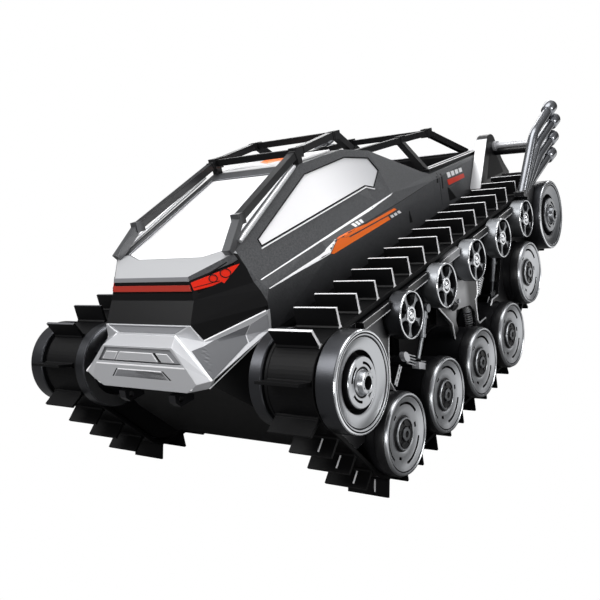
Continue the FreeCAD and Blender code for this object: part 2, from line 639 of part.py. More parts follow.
# ---------------------------------------------------------------- roll cage
FOOT, KNEE, CROWN, BACK, HEEL = (44.75, -150.6, 154.6), (40.9, -131.4, 170.1), (33.8, -56.6, 196.3), (33.6, -9.2, 201.0), (33.6, 8.4, 188.4)
rails = [bar(FOOT, KNEE, 5.0, 4.6), bar(KNEE, CROWN, 5.0, 4.6), bar(CROWN, BACK, 5.0, 4.6), bar(BACK, HEEL, 5.0, 4.6),
         box(31.0, 36.8, -60.5, -52.5, 192.4, 199.2), box(38.2, 43.6, -135.0, -128.4, 166.6, 172.8),
         box(31.0, 36.4, -12.5, -6.0, 197.4, 203.2)]
pillar = bar((33.8, -56.6, 196.3), (33.8, -56.6, 188.0), 4.6, 4.6, (0, 1, 0))
cage = fuse(rails + [pillar])
cage = cage.cut(E)
cage = group([s for s in cage.Solids if s.Volume > 100])
out("cage_rails", both(cage))
cross = [bar((-31.0, -56.6, 196.0), (31.0, -56.6, 196.0), 4.4, 4.4), bar((-31.0, -9.4, 200.6), (31.0, -9.4, 200.6), 4.4, 4.4)]
out("cage_crossbars", group(cross))
R0, R1, R2, R3 = (36.0, 9.0, 184.8), (36.0, 92.0, 184.2), (37.0, 122.0, 183.6), (47.0, 169.0, 160.0)
rear = [bar(R0, R1, 5.0, 4.6), bar(R1, R2, 5.0, 4.6), bar(R2, R3, 5.0, 4.6), bar((36.0, 77.0, 182.5), (53.0, 77.0, 160.0), 4.6, 5.0, (0, 1, 0)),
        box(33.2, 39.6, 118.0, 126.0, 180.2, 187.0), box(33.2, 38.8, 73.5, 80.5, 181.2, 187.4)]
rear_rail = fuse(rear).cut(E)
rear_rail = rear_rail.cut(box(30, 70, 60, 180, 150, 160.4))
rear_rail = group([s for s in rear_rail.Solids if s.Volume > 100])
out("rear_rails", group([both(rear_rail), bar((-33.2, 122.0, 183.6), (33.2, 122.0, 183.6), 4.4, 4.4)]))

# ---------------------------------------------------------------- load bed
floor = box(-49.6, 49.6, 75.0, 169.0, 135.0, 136.6)
ribs = [box(-44, 44, y, y + 3, 136.6, 138.0) for y in (86, 100, 114, 128, 142, 156)]
rims = [box(50.4, 58.4, 74.0, 171.0, 158.4, 160.4), box(-58.4, -50.4, 74.0, 171.0, 158.4, 160.4), box(-58.4, 58.4, 167.0, 174.0, 158.4, 160.4)]
tail = [box(-50.0, 50.0, 166.6, 169.4, 135.0, 158.4)]
liner = fuse([floor] + ribs + tail + rims)
out("rear_bed", liner)

# ---------------------------------------------------------------- fins and exhausts
fin = prism([(137.0, 132.2), (202.0, 132.2), (204.0, 135.0), (190.0, 148.0), (181.5, 164.0), (178.0, 169.4), (172.5, 172.2), (166.5, 171.6),
             (161.0, 168.0)], "X", 60.4, 70.0)
fin = fin.cut(prism([(150.5, 135.0), (192.0, 135.0), (176.0, 158.0), (171.0, 162.5), (166.0, 162.0)], "X", 66.0, 71.0))
fin_foot = box(56.0, 60.4, 172.0, 178.0, 120.0, 131.0)
fin = fin.fuse(box(58.0, 60.4, 138.0, 170.0, 132.2, 150.0)).cut(E).removeSplitter()
fin = group([s for s in fin.Solids if s.Volume > 200])
PIPES = [((116.0, 127.0), (157.0, 169.0), (196.0, 182.4)), ((121.5, 128.6), (161.0, 159.5), (201.19, 171.6)),
         ((127.0, 130.4), (162.5, 150.0), (193.0, 158.6)), ((132.5, 132.4), (162.0, 140.4), (184.0, 146.4))]
XE = 110.8
ex = []
for a, b, c in PIPES:
    a3, b3, c3 = (XE, a[0], a[1]), (XE, b[0], b[1]), (XE, c[0], c[1])
    d = V(*c3) - V(*b3)
    d.normalize()
    e0 = V(*c3) - d * 2.0
    e1 = V(*c3) + d * 9.6
    cup = Part.makeCylinder(5.6, (e1 - e0).Length, e0, d)
    cup = cup.cut(Part.makeCylinder(4.3, 9.0, e1 - d * 8.0, d))
    ex += [rod(a3, b3, 3.6), Part.makeSphere(3.6, V(*b3)), rod(b3, c3, 3.6), cup]
pipes = fuse(ex)
pipes = pipes.cut(brk)
pipes = group([s for s in pipes.Solids if s.Volume > 200])
out("exhausts", both(pipes))
fin = fin.fuse(rod((69.0, 176.0, 160.5), (107.0, 169.0, 160.5), 4.4)).cut(pipes).removeSplitter()
out("fins", both(fin))


# ---------------------------------------------------------------- inside the tub
battery = fuse([box(-33, 33, -62, 50, 29.0, 55.0)])
out("battery_pack", battery)
gear = box(30, 50, 138, 170, 88, 120).cut(rodx(RY, RZ, 2.55, 28, 52))
motor = fuse([rodx(RY - 34, RZ - 12, 14.0, 6.0, 46.0), box(30, 46, 118, 138.4, 88, 112)])
gm = fuse([gear, motor]).cut(rodx(RY, RZ, 2.55, 28, 52))
hang = box(50, 55.5, 142, 166, 92, 118).cut(rodx(RY, RZ, 8.2, 48, 58))
gm = fuse([gm, hang])
out("drive_motors", both(gm))
board = fuse([box(-40, 40, -60, 45, 70.0, 71.6)] + [box(x - 3, x + 3, y - 3, y + 3, 55.0, 70.0) for x in (-28, 28) for y in (-55, 40)] +
             [box(-20, 5, -30, 0, 71.6, 78.0), box(12, 30, 5, 30, 71.6, 76.0)])
out("circuit_board", board)

names = sorted(f for f in os.listdir("parts") if f.endswith(".step"))
print(len(names), "parts")
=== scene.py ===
import math

import bmesh
import bpy
from mathutils import Matrix, Vector
from mathutils.bvhtree import BVHTree


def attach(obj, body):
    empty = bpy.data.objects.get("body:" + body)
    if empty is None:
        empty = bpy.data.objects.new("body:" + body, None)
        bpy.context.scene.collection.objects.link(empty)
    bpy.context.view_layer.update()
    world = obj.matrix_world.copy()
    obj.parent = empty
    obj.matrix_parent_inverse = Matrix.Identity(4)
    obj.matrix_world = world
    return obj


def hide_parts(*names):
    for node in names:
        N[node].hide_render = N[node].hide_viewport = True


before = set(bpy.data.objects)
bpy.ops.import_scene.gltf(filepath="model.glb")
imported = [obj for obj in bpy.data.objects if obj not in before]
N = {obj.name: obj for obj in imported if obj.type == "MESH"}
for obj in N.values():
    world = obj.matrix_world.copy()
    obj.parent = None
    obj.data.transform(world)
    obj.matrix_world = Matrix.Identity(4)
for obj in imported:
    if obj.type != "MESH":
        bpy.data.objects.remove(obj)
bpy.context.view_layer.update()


# ---------- helpers
# Lengths below are in millimetres in the CAD source's own frame, whose y runs
# 10.25 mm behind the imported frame's.
YS = -10.25


def mm(p):
    return Vector((p[0] / 1000, (p[1] + YS) / 1000, p[2] / 1000))


def srgb(*rgb):
    """Linear colour from display values of 0 to 255."""
    parts = [c / 255 for c in rgb]
    return (*(c / 12.92 if c <= 0.04045 else ((c + 0.055) / 1.055) ** 2.4 for c in parts), 1)


# ---------- camera
CAMERA_AT = (328.17, -465.25, 227.52)
LENS, SENSOR = 47.21, 36
cam_data = bpy.data.cameras.new("camera")
cam_data.sensor_width = SENSOR
cam_data.lens = LENS
cam = bpy.data.objects.new("camera", cam_data)
bpy.context.scene.collection.objects.link(cam)
back = Vector((0.5889, -0.7706, 0.2434)).normalized()
right = Vector((0.8082, 0.5622, -0.1755))
right = (right - back * right.dot(back)).normalized()
turn = Matrix((right, back.cross(right), back)).transposed().to_4x4()
cam.matrix_world = Matrix.Translation(mm(CAMERA_AT)) @ turn
bpy.context.scene.camera = cam


# ---------- materials
def put(node, values):
    for key, value in values.items():
        node.inputs[key].default_value = value
    return node


def add(nt, kind, values=None):
    """New shader node with the given input values."""
    return put(nt.nodes.new("ShaderNode" + kind), values or {})


def mix_color(nt, factor, other):
    """Colour mix in front of the base colour, whose second colour is other."""
    mx = nt.nodes.new("ShaderNodeMix")
    mx.data_type = "RGBA"
    mx.inputs["B"].default_value = other
    nt.links.new(factor, mx.inputs["Factor"])
    nt.links.new(mx.outputs["Result"], nt.nodes["Principled BSDF"].inputs["Base Color"])
    return mx


def mat(name, rgb, rough, metal=0, coat=0, spec=0.5, grain=0.03, scale=2400, bump=0, rough_var=0):
    """Surface whose colour, roughness and relief follow one fine noise."""
    m = bpy.data.materials.new(name)
    m.use_nodes = True
    nt = m.node_tree
    color = srgb(*rgb)
    b = put(nt.nodes["Principled BSDF"], {
        "Base Color": color, "Roughness": rough, "Metallic": metal, "Coat Weight": coat,
        "Coat Roughness": 0.12, "Specular IOR Level": spec, "IOR": 1.45})
    noise = add(nt, "TexNoise", {"Scale": scale, "Detail": 3, "Roughness": 0.6})
    nt.links.new(add(nt, "TexCoord").outputs["Object"], noise.inputs["Vector"])
    mx = mix_color(nt, noise.outputs["Fac"], [min(1, c * (1 + grain)) for c in color[:3]] + [1])
    mx.inputs["A"].default_value = [c * (1 - grain) for c in color[:3]] + [1]
    if rough_var:
        mr = add(nt, "MapRange", {
            "From Min": 0.3, "From Max": 0.7,
            "To Min": max(0, rough - rough_var), "To Max": min(1, rough + rough_var)})
        nt.links.new(noise.outputs["Fac"], mr.inputs["Value"])
        nt.links.new(mr.outputs["Result"], b.inputs["Roughness"])
    if bump:
        bp = add(nt, "Bump", {"Strength": bump, "Distance": 0.0002})
        nt.links.new(noise.outputs["Fac"], bp.inputs["Height"])
        nt.links.new(bp.outputs["Normal"], b.inputs["Normal"])
    return m


FLAKE = {"scale": 4200, "bump": 0.03, "rough_var": 0.04}
TURNED = {"scale": 1800, "bump": 0.004, "rough_var": 0.02}
MATTE = {"scale": 3600, "bump": 0.03}
M = {
    "body": mat("body_grey", (66, 67, 69), 0.42, 0, 0.1, 0.45, 0.95, 950, 0.12, 0.06),
    "black": mat("satin_black", (11, 11, 12), 0.42, spec=0.18, grain=0.15, bump=0.06, rough_var=0.05),
    "nose": mat("nose_black", (11, 11, 12), 0.34, 0, 0.06, spec=0.2, grain=0.10, bump=0.04),
    "silver": mat("silver_paint", (186, 187, 190), 0.34, 0.45, 0.15, **FLAKE),
    "hood": mat("hood_silver", (176, 177, 179), 0.40, 0.35, 0.15, **FLAKE),
    "wheel": mat("wheel_metal", (172, 174, 177), 0.31, 1, **TURNED),
    "wheel_dark": mat("wheel_gunmetal", (116, 118, 121), 0.31, 1, grain=0.04, **TURNED),
    "chrome": mat("chrome", (205, 207, 210), 0.22, 1, grain=0.02, scale=1800, rough_var=0.03),
    "chrome_dark": mat("exhaust_chrome", (128, 130, 134), 0.24, 1, scale=1800, rough_var=0.04),
    "steel": mat("steel", (150, 152, 156), 0.30, 1, grain=0.04, rough_var=0.05),
    "rubber": mat("track_black", (8, 8, 9), 0.5, spec=0.13, grain=0.2, scale=2600, bump=0.1, rough_var=0.08),
    "red": mat("red_lens", (206, 34, 12), 0.30, 0, 0.15, spec=0.3, grain=0.05, scale=700),
    "red_bar": mat("red_bar", (150, 44, 34), 0.34, 0, 0.1, spec=0.3, grain=0.06, scale=1500),
    "glass": mat("pale_glass", (248, 248, 250), 0.10, 0.1, 0.5, grain=0.02, scale=40),
    "side_glass": mat("side_glass", (248, 248, 250), 0.10, 0.1, 0.5, grain=0.02, scale=40),
    "white": mat("roof_white", (248, 248, 249), 0.24, 0, 0.3, grain=0.02, scale=60),
    "blue": mat("wrap", (30, 50, 110), 0.3, 0, 0.3, grain=0.05, scale=300),
    "pad_highlight": mat("pad_highlight", (214, 214, 216), 0.42, spec=0.4, grain=0.08, scale=2600, bump=0.05),
    "groove": mat("groove_dark", (14, 14, 15), 0.55, spec=0.2, grain=0.15, scale=2000),
    "hub_black": mat("hub_black", (18, 18, 20), 0.36, spec=0.35, grain=0.12, bump=0.04),
    "green": mat("board", (20, 70, 35), 0.5, 0, 0.1, grain=0.1, scale=500),
    "white_trim": mat("white_trim", (232, 232, 234), 0.34, 0, 0.2, rough_var=0.04),
    "bright_edge": mat("bright_edge", (225, 226, 228), 0.28, 0.5, 0.1, rough_var=0.04),
    "orange": mat("orange_trim", (255, 118, 40), 0.40, 0, 0.1, grain=0.04, rough_var=0.04),
    "red_trim": mat("red_trim", (196, 52, 34), 0.40, 0, 0.1, grain=0.05, rough_var=0.04),
    "lip_grey": mat("lip_grey", (126, 127, 130), 0.36, 0.2, 0.1, grain=0.05, **MATTE),
    "scoop": mat("scoop_grey", (120, 121, 124), 0.40, 0.2, 0.1, grain=0.05, **MATTE),
    "pocket_grey": mat("pocket_grey", (126, 127, 130), 0.42, 0.1, 0.05, grain=0.08, scale=3600, bump=0.04),
    "lip_light": mat("pale_metal", (176, 177, 180), 0.36, 0.3, 0.1, grain=0.04, scale=3600, rough_var=0.04),
    "wing_grey": mat("wing_grey", (84, 85, 88), 0.36, 0.2, 0.1, grain=0.06, scale=3600, bump=0.04),
    "fin_black": mat("fin_black", (14, 14, 16), 0.36, 0, 0.1, spec=0.3, grain=0.12, bump=0.04),
    "fin_face": mat("fin_face", (196, 197, 199), 0.36, 0.2, 0.15, grain=0.04, scale=3600, rough_var=0.04),
    "barrel": mat("barrel_metal", (122, 124, 127), 0.42, 1, scale=2600, rough_var=0.04),
    "barrel_dark": mat("barrel_dark", (62, 63, 66), 0.34, 0.9, grain=0.04, scale=2600, rough_var=0.04),
    "rail_grey": mat("rail_grey", (20, 20, 22), 0.36, 0.2, 0.1, grain=0.06, **MATTE),
    "cover_black": mat("cover_black", (15, 15, 17), 0.38, 0.35, 0.1, grain=0.1, **MATTE)}


# Shades that change along the object, in source millimetres.
def split_xyz(nt):
    xyz = add(nt, "SeparateXYZ")
    nt.links.new(add(nt, "TexCoord").outputs["Object"], xyz.inputs["Vector"])
    return xyz


def ramp(nt, xyz, axis, lo, hi, top=1):
    """0 at lo and top at hi along an axis, smooth between."""
    shift = YS if axis == "Y" else 0
    rising = lo < hi
    r = add(nt, "MapRange", {
        "From Min": (min(lo, hi) + shift) / 1000, "From Max": (max(lo, hi) + shift) / 1000,
        "To Min": 0 if rising else top, "To Max": top if rising else 0})
    r.interpolation_type = "SMOOTHSTEP"
    nt.links.new(xyz.outputs[axis], r.inputs["Value"])
    return r.outputs["Result"]


def blend(key, factor, rgb):
    """Mix a material's colour towards another one."""
    nt = M[key].node_tree
    own = nt.nodes["Principled BSDF"].inputs["Base Color"].links[0].from_socket
    nt.links.new(own, mix_color(nt, factor, srgb(*rgb)).inputs["A"])


def combine(nt, operation, a, b):
    q = add(nt, "Math")
    q.operation = operation
    q.use_clamp = operation == "ADD"
    nt.links.new(a, q.inputs[0])
    nt.links.new(b, q.inputs[1])
    return q.outputs[0]


# painted shade: the body paint darkens from z 146 down to z 108, near the tracks
for key, rgb, axis, lo, hi in (("body", (20, 20, 22), "Z", 146, 108),
                               # painted shade: the side window greys towards the rear, from y -62 to y 18
                               ("side_glass", (186, 187, 190), "Y", -62, 18),
                               # painted light: the cage rails turn lighter grey in front of the knee, where
                               # the front light falls
                               ("rail_grey", (64, 65, 67), "Y", -129, -133)):
    nt = M[key].node_tree
    blend(key, ramp(nt, split_xyz(nt), axis, lo, hi), rgb)


def painted_highlight_fields():
    """Two bright painted highlights on the black side cover, each the product of three ramps."""
    nt = M["cover_black"].node_tree
    xyz = split_xyz(nt)
    fields = []
    for bands in ((("Y", -97, -108), ("Z", 80, 93), ("Z", 106.5, 99, 0.2)),
                  (("Y", -24, -10), ("Y", 19, 9), ("Z", 56, 90, 0.5))):
        a, b, c = [ramp(nt, xyz, *band) for band in bands]
        fields.append(combine(nt, "MULTIPLY", combine(nt, "MULTIPLY", a, b), c))
    blend("cover_black", combine(nt, "ADD", *fields), (206, 207, 210))


painted_highlight_fields()

# Material of each CAD node; the wheels and rollers take "wheel".
LOOK = {
    "groove": "track_frame_left track_frame_right",
    "cover_black": "side_cover_left side_cover_right",
    "steel": "axle_bolts drive_shaft_left drive_shaft_right screws coil_springs drive_motors",
    "chrome": "dampers exhausts", "body": "body_shell", "hood": "hood", "nose": "nose_panel",
    "red_bar": "light_bar", "red": "headlights", "glass": "windscreen rear_window",
    "side_glass": "side_windows", "white": "roof_panel", "rail_grey": "cage_rails",
    "black": "cage_crossbars rear_rails bumper_grille lower_hull belly_plate rear_bed fins",
    "silver": "front_bumper", "hub_black": "tow_eyes", "blue": "battery_pack",
    "green": "circuit_board", "rubber": "track_left track_right"}
SURFACE = {node: key for key, nodes in LOOK.items() for node in nodes.split()}
for name, o in N.items():
    o.data.materials.clear()
    o.data.materials.append(M[SURFACE.get(name, "wheel")])

# ---------- mesh helpers
LINK = bpy.context.scene.collection.objects.link


def shade(me, angle=30):
    me.shade_smooth()
    me.set_sharp_from_angle(angle=math.radians(angle))


def raw(verts, faces, ids=None, angle=None):
    """Mesh in millimetres about the source origin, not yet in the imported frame."""
    bm = bmesh.new()
    vs = [bm.verts.new(v) for v in verts]
    for k, f in enumerate(faces):
        try:
            q = bm.faces.new([vs[i] for i in f])
        except ValueError:
            continue
        if ids:
            q.material_index = ids[k]
    bmesh.ops.remove_doubles(bm, verts=bm.verts, dist=1e-4)
    bmesh.ops.dissolve_degenerate(bm, edges=bm.edges, dist=1e-4)
    bmesh.ops.recalc_face_normals(bm, faces=bm.faces)
    me = bpy.data.meshes.new("raw")
    bm.to_mesh(me)
    bm.free()
    if angle is not None:
        shade(me, angle)
    return me


def place(name, me, body, mats, side=1, off=(0, 0, 0), bevel=0, angle=32, edge=None, hide=(), slot=None):
    """Copy of a raw mesh moved by off, mirrored for the right side, scaled to metres and put on its body."""
    d = me.copy()
    d.name = name
    m = Matrix.Diagonal((side * 0.001, 0.001, 0.001, 1))
    m.translation = Vector((side * off[0] / 1000, (off[1] + YS) / 1000, off[2] / 1000))
    d.transform(m)
    if side < 0:
        d.flip_normals()
    ids = [0] * len(d.polygons)
    d.polygons.foreach_get("material_index", ids)
    d.materials.clear()
    for k in mats:
        d.materials.append(M[k])
    d.polygons.foreach_set("material_index", ids)
    o = bpy.data.objects.new(name, d)
    LINK(o)
    if bevel:
        add_bevel(o, bevel, angle, edge)
    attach(o, body)
    if hide:
        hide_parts(*hide)
    return o


def add_bevel(o, width, angle=32, edge=None):
    b = o.modifiers.new("edges", "BEVEL")
    b.width = width / 1000
    b.segments = 2
    b.limit_method = "ANGLE"
    b.angle_limit = math.radians(angle)
    b.harden_normals = True
    if edge:
        o.data.materials.append(M[edge])
        b.material = len(o.data.materials) - 1


def quads(rows, cols, wrap_rows=True, wrap_cols=True):
    """Faces of a grid of points, closed round either way or open."""
    faces = []
    for i in range(rows if wrap_rows else rows - 1):
        a, b = i * cols, (i + 1) % rows * cols
        for k in range(cols if wrap_cols else cols - 1):
            h = (k + 1) % cols
            faces.append((a + k, a + h, b + h, b + k))
    return faces


def lathe(profile, seg, closed=True, angle=28):
    """(x, r[, material]) points turned about the X axis."""
    verts = []
    for j in range(seg):
        a = 2 * math.pi * j / seg
        verts += [(p[0], p[1] * math.cos(a), p[1] * math.sin(a)) for p in profile]
    ids = [p[2] if len(p) > 2 else 0 for p in (profile if closed else profile[:-1])]
    return raw(verts, quads(seg, len(profile), True, closed), ids * seg, angle)


def arc_block(r0, r1, x0, x1, a0, a1):
    """Solid ring sector, degrees, for cutting slots."""
    verts = []
    n = 10
    for i in range(n + 1):
        a = math.radians(a0 + (a1 - a0) * i / n)
        for x, r in ((x0, r0), (x0, r1), (x1, r1), (x1, r0)):
            verts.append((x, r * math.cos(a), r * math.sin(a)))
    return verts, quads(n + 1, 4, False) + [(0, 1, 2, 3), (4 * n + 3, 4 * n + 2, 4 * n + 1, 4 * n)]


def join(parts):
    """Several (verts, faces[, id]) lists in one."""
    v, f, ids = [], [], []
    for p in parts:
        b = len(v)
        v += p[0]
        f += [tuple(b + i for i in q) for q in p[1]]
        ids += [p[2] if len(p) > 2 else 0] * len(p[1])
    return v, f, ids


def carve(me, blocks, mat_id):
    """Boolean difference of raw meshes; cut faces take material mat_id."""
    v, f, _ = join(blocks)
    cut = raw(v, f, [mat_id] * len(f))
    for k in range(8):
        me.materials.append(None)
        cut.materials.append(None)
    a = bpy.data.objects.new("a", me)
    b = bpy.data.objects.new("b", cut)
    LINK(a)
    LINK(b)
    m = a.modifiers.new("cut", "BOOLEAN")
    m.object = b
    m.operation = "DIFFERENCE"
    m.solver = "EXACT"
    m.use_self = True
    m.material_mode = "INDEX"
    dg = bpy.context.evaluated_depsgraph_get()
    r = bpy.data.meshes.new_from_object(a.evaluated_get(dg))
    bpy.data.objects.remove(a)
    bpy.data.objects.remove(b)
    shade(r, 28)
    return r


def spin_x(part, deg):
    c, s = math.cos(math.radians(deg)), math.sin(math.radians(deg))
    return ([(x, y * c - z * s, y * s + z * c) for x, y, z in part[0]],) + tuple(part[1:])


def loft(low, high, mid=0):
    """Solid between two polygons with as many points."""
    n = len(low)
    f = [tuple(range(n)), tuple(range(2 * n - 1, n - 1, -1))]
    return low + high, f + [(i, (i + 1) % n, n + (i + 1) % n, n + i) for i in range(n)], mid


def prism(pts, axis, lo, hi, mid=0):
    """Polygon swept along an axis: X takes (y, z), Y (x, z), Z (x, y)."""
    lay = {"X": lambda a, b, c: (c, a, b), "Y": lambda a, b, c: (a, c, b), "Z": lambda a, b,
           c: (a, b, c)}[axis]
    return loft([lay(a, b, lo) for a, b in pts], [lay(a, b, hi) for a, b in pts], mid)


def rod(x, pts, r, sides):
    """Tube through (y, z) points at one x."""
    return tube([(x, *p) for p in pts], r, sides)


def solid(parts, angle=None):
    v, f, ids = join(parts)
    return raw(v, f, ids, angle)


def tube(points, r, seg):
    """Round tube along 3-D points, as (verts, faces, id)."""
    P = [Vector(p) for p in points]
    R = r if isinstance(r, (list, tuple)) else [r] * len(P)
    v = []
    u = None
    for i, p in enumerate(P):
        if i == 0:
            d = P[1] - P[0]
        elif i == len(P) - 1:
            d = P[-1] - P[-2]
        else:
            d = (P[i + 1] - p).normalized() + (p - P[i - 1]).normalized()
        d.normalize()
        if u is None:
            u = d.cross(Vector((0, 0, 1)) if abs(d.z) < 0.9 else Vector((1, 0, 0))).normalized()
        u = (u - d * u.dot(d)).normalized()
        w = d.cross(u)
        for k in range(seg):
            a = 2 * math.pi * k / seg
            v.append(tuple(p + (u * math.cos(a) + w * math.sin(a)) * R[i]))
    last = (len(P) - 1) * seg
    f = quads(len(P), seg, False)
    return v, f + [tuple(range(seg - 1, -1, -1)), tuple(range(last, last + seg))], 0


# ---------- layout, repeated from the CAD source
FY, FZ, RY, RZ = -152.6, 85, 154.1, 104.1
ROAD = [(-113.3 + 55.9 * k, 37.4) for k in range(4)] + [(103, 70.6)]
SLOPE = (RZ - FZ) / (RY - FY)
ROLL = [(-86.2 + 48.9 * k, 99 + SLOPE * 48.9 * k) for k in range(5)]
R_BIG, R_ROAD, T_BELT, H_PAD, T_PAD, N_PAD = 23, 23.85, 2.5, 11.05, 1.6, 40
SIDES = (("left", 1), ("right", -1))


def loop_path(o):
    c = [(ROAD[0][0], ROAD[0][1], R_ROAD + o), (ROAD[3][0], ROAD[3][1], R_ROAD + o), (RY, RZ, R_BIG + o),
         (FY, FZ, R_BIG + o)]
    tang = []
    for i in range(4):
        a, b = c[i], c[(i + 1) % 4]
        dy, dz = b[0] - a[0], b[1] - a[1]
        tang.append(math.atan2(dz, dy) - math.acos((a[2] - b[2]) / math.hypot(dy, dz)))
    path = []
    for i in range(4):
        a, b = c[i], c[(i + 1) % 4]
        f = tang[i]
        path.append(("line", (a[0] + a[2] * math.cos(f), a[1] + a[2] * math.sin(f)),
                     (b[0] + b[2] * math.cos(f), b[1] + b[2] * math.sin(f)), f))
        g = tang[(i + 1) % 4]
        while g < f:
            g += 2 * math.pi
        path.append(("arc", b, f, g))
    return path


def seg_len(s):
    if s[0] == "line":
        return math.hypot(s[2][0] - s[1][0], s[2][1] - s[1][1])
    return s[1][2] * (s[3] - s[2])


def loop_at(path, t):
    t %= sum(seg_len(s) for s in path)
    for s in path:
        L = seg_len(s)
        if t <= L:
            if s[0] == "line":
                k = t / L
                return (s[1][0] + k * (s[2][0] - s[1][0]), s[1][1] + k * (s[2][1] - s[1][1]), s[3])
            (cy, cz, r), f = s[1], s[2]
            a = f + t / r
            return (cy + r * math.cos(a), cz + r * math.sin(a), a)
        t -= L


# ---------- tracks
def track_mesh(slits):
    path = loop_path(T_BELT)
    total = sum(seg_len(s) for s in path)
    start = sum(seg_len(s) for s in path[:6]) + (path[6][1][0] + 147.2) / math.cos(math.atan(SLOPE))
    # belt: section swept round the loop, edges rounded, a shallow rib each side
    sec = [(75, -2.5), (75, -0.5), (75.5, 0), (77.2, 0), (77.2, -0.35), (105.4, -0.35), (105.4, 0),
           (105.6, 0), (106, -0.4), (106, -2.5)]
    n = 4 * 96
    verts = []
    for i in range(n):
        y, z, a = loop_at(path, start + total * i / n)
        verts += [(x, y + math.cos(a) * h, z + math.sin(a) * h) for x, h in sec]
    parts = [(verts, quads(n, len(sec)), 0)]
    h = T_PAD / 2
    # blade, tapering a little towards its tip, on a low foot
    half = [(-h - 0.9, -0.6), (-h - 0.9, 0.25), (-h - 0.1, 1.1), (-h, H_PAD)]
    blade = half + [(-u, v) for u, v in reversed(half)]
    slit = [(-h - 0.3, 1.4), (-h - 0.3, 8.8), (-h + 0.1, 8.8), (-h + 0.1, 1.4)]
    for i in range(N_PAD):
        y, z, a = loop_at(path, start + i * total / N_PAD)
        c, s = math.cos(a), math.sin(a)
        v, f, _ = prism([(y - s * u + c * w, z + c * u + s * w) for u, w in blade], "X", 78, 105.2)
        # painted highlight: the tip face and outer end of paddles on the upper run take the bright edge
        # colour
        parts += [(v, [q], 1 if k in (1, 5) and s > 0.35 else 0) for k, q in enumerate(f)]
        # painted highlight: bright slit lines on the left track's lower front paddles
        if slits and s < -0.5 and y < -100:
            parts.append(prism([(y - s * u + c * w, z + c * u + s * w) for u, w in slit], "X", 96, 96.9, 1))
    return parts


# painted light: the left track's paddle edges take the pale colour, the right track's the darker wing grey as
# painted shade
for nm, sd in SIDES:
    place("track_belt_" + nm, solid(track_mesh(sd > 0)), "chassis",
          ["rubber", "pad_highlight" if sd > 0 else "wing_grey"], sd,
          bevel=0.32, angle=40, hide=("track_" + nm,), slot="track_rubber")


# ---------- wheels
def polar(r, deg, x):
    return (x, r * math.cos(math.radians(deg)), r * math.sin(math.radians(deg)))


# Profiles from the inner bore out over the drum and back in across the face.
big = lathe([
    (66, 2.55), (66, 7), (104, 7), (104, 19.6), (66, 19.6), (66, 26.5, 4), (66.6, 27.1, 4),
    (73.8, 27.1, 4), (74.4, 26.5, 4), (74.4, 22.6, 4), (108, 22.6, 4), (108, 26.5, 4), (108.6, 27.1, 4),
    (118.2, 27.1, 4), (119.2, 27, 5), (119.8, 26.6, 5), (120, 26.1, 5), (120, 25.6, 1),
    (119.5, 25.4, 1), (119.5, 25, 1), (119.9, 24.8), (119.8, 24.1), (119.4, 23.8, 1), (119, 23.6, 1),
    (119, 23.3, 1), (119.2, 23.1), (118.9, 22.5), (118, 20.4), (117.4, 18.2), (117.2, 16.9),
    (117, 16.5, 3), (116.4, 16.3, 3), (111.4, 16.1, 3), (110.8, 15.6, 3), (110.8, 14.2, 3),
    (111.4, 13.8, 3), (118, 13.6, 3), (118.5, 13.5), (118.9, 13.3), (119.1, 13), (119.1, 8.2),
    (118.9, 7.9, 1), (118.4, 7.8, 1), (118.4, 7.3, 1), (118.8, 7.1, 0), (119.6, 6.4), (121.8, 5.9),
    (122.3, 5.7), (122.5, 5.4), (122.5, 3.8), (122.3, 3.5, 1), (121, 3.3, 1), (113, 3.1, 1),
    (113, 2.55, 1)], 128)
big = carve(big, [arc_block(9.3, 10.6, 117.4, 120.4, 20 + 90 * i, 72 + 90 * i) for i in range(4)], 1)
nuts = solid([tube([polar(4.65, 60 * i + 15, x) for x in (122, 122.5)], 0.5, 8) for i in range(6)], 30)

road = lathe([
    (83, 3.05), (83, 7), (104, 7), (104, 20), (83, 20), (83, 23, 3), (83.5, 23.5, 3), (108.9, 23.5, 3),
    (109.5, 24.1, 3), (114.4, 24.1, 3), (115.1, 23.8, 3), (115.2, 23.4), (116.2, 23.3), (116.8, 23),
    (117, 22.6), (117, 22.1), (116.8, 21.8), (116.4, 21.5, 3), (116.1, 21.3, 3), (116.1, 21, 3),
    (116.3, 20.8), (116.1, 20.3), (115.2, 18.4), (114.6, 16), (114.3, 13), (114.2, 11),
    (114, 10.4, 3), (113.8, 10.1, 3), (113.9, 9.6, 3), (115.2, 9.3), (115.7, 9.2), (115.9, 9),
    (115.9, 8.6), (115.7, 8.4, 3), (115.3, 8.2, 3), (115, 8, 3), (115, 5.2, 3), (115.4, 4.9, 3),
    (115.4, 4.4, 3), (114.2, 4.3, 3), (114.2, 3.05, 3)], 112)
slots = [arc_block(16.7, 18, 112, 118, 24 + 120 * i, 92 + 120 * i) for i in range(3)]
slots += [arc_block(13.2, 14.8, 110.4, 118, 112 + 120 * i, 124 + 120 * i) for i in range(3)]
road = carve(road, slots, 1)
lugs = solid([tube([polar(6.55, 72 * i + 8, x) for x in (114.9, 115.6, 115.8)], [1.15, 1.15, 0.8], 6)
              for i in range(5)], 25)

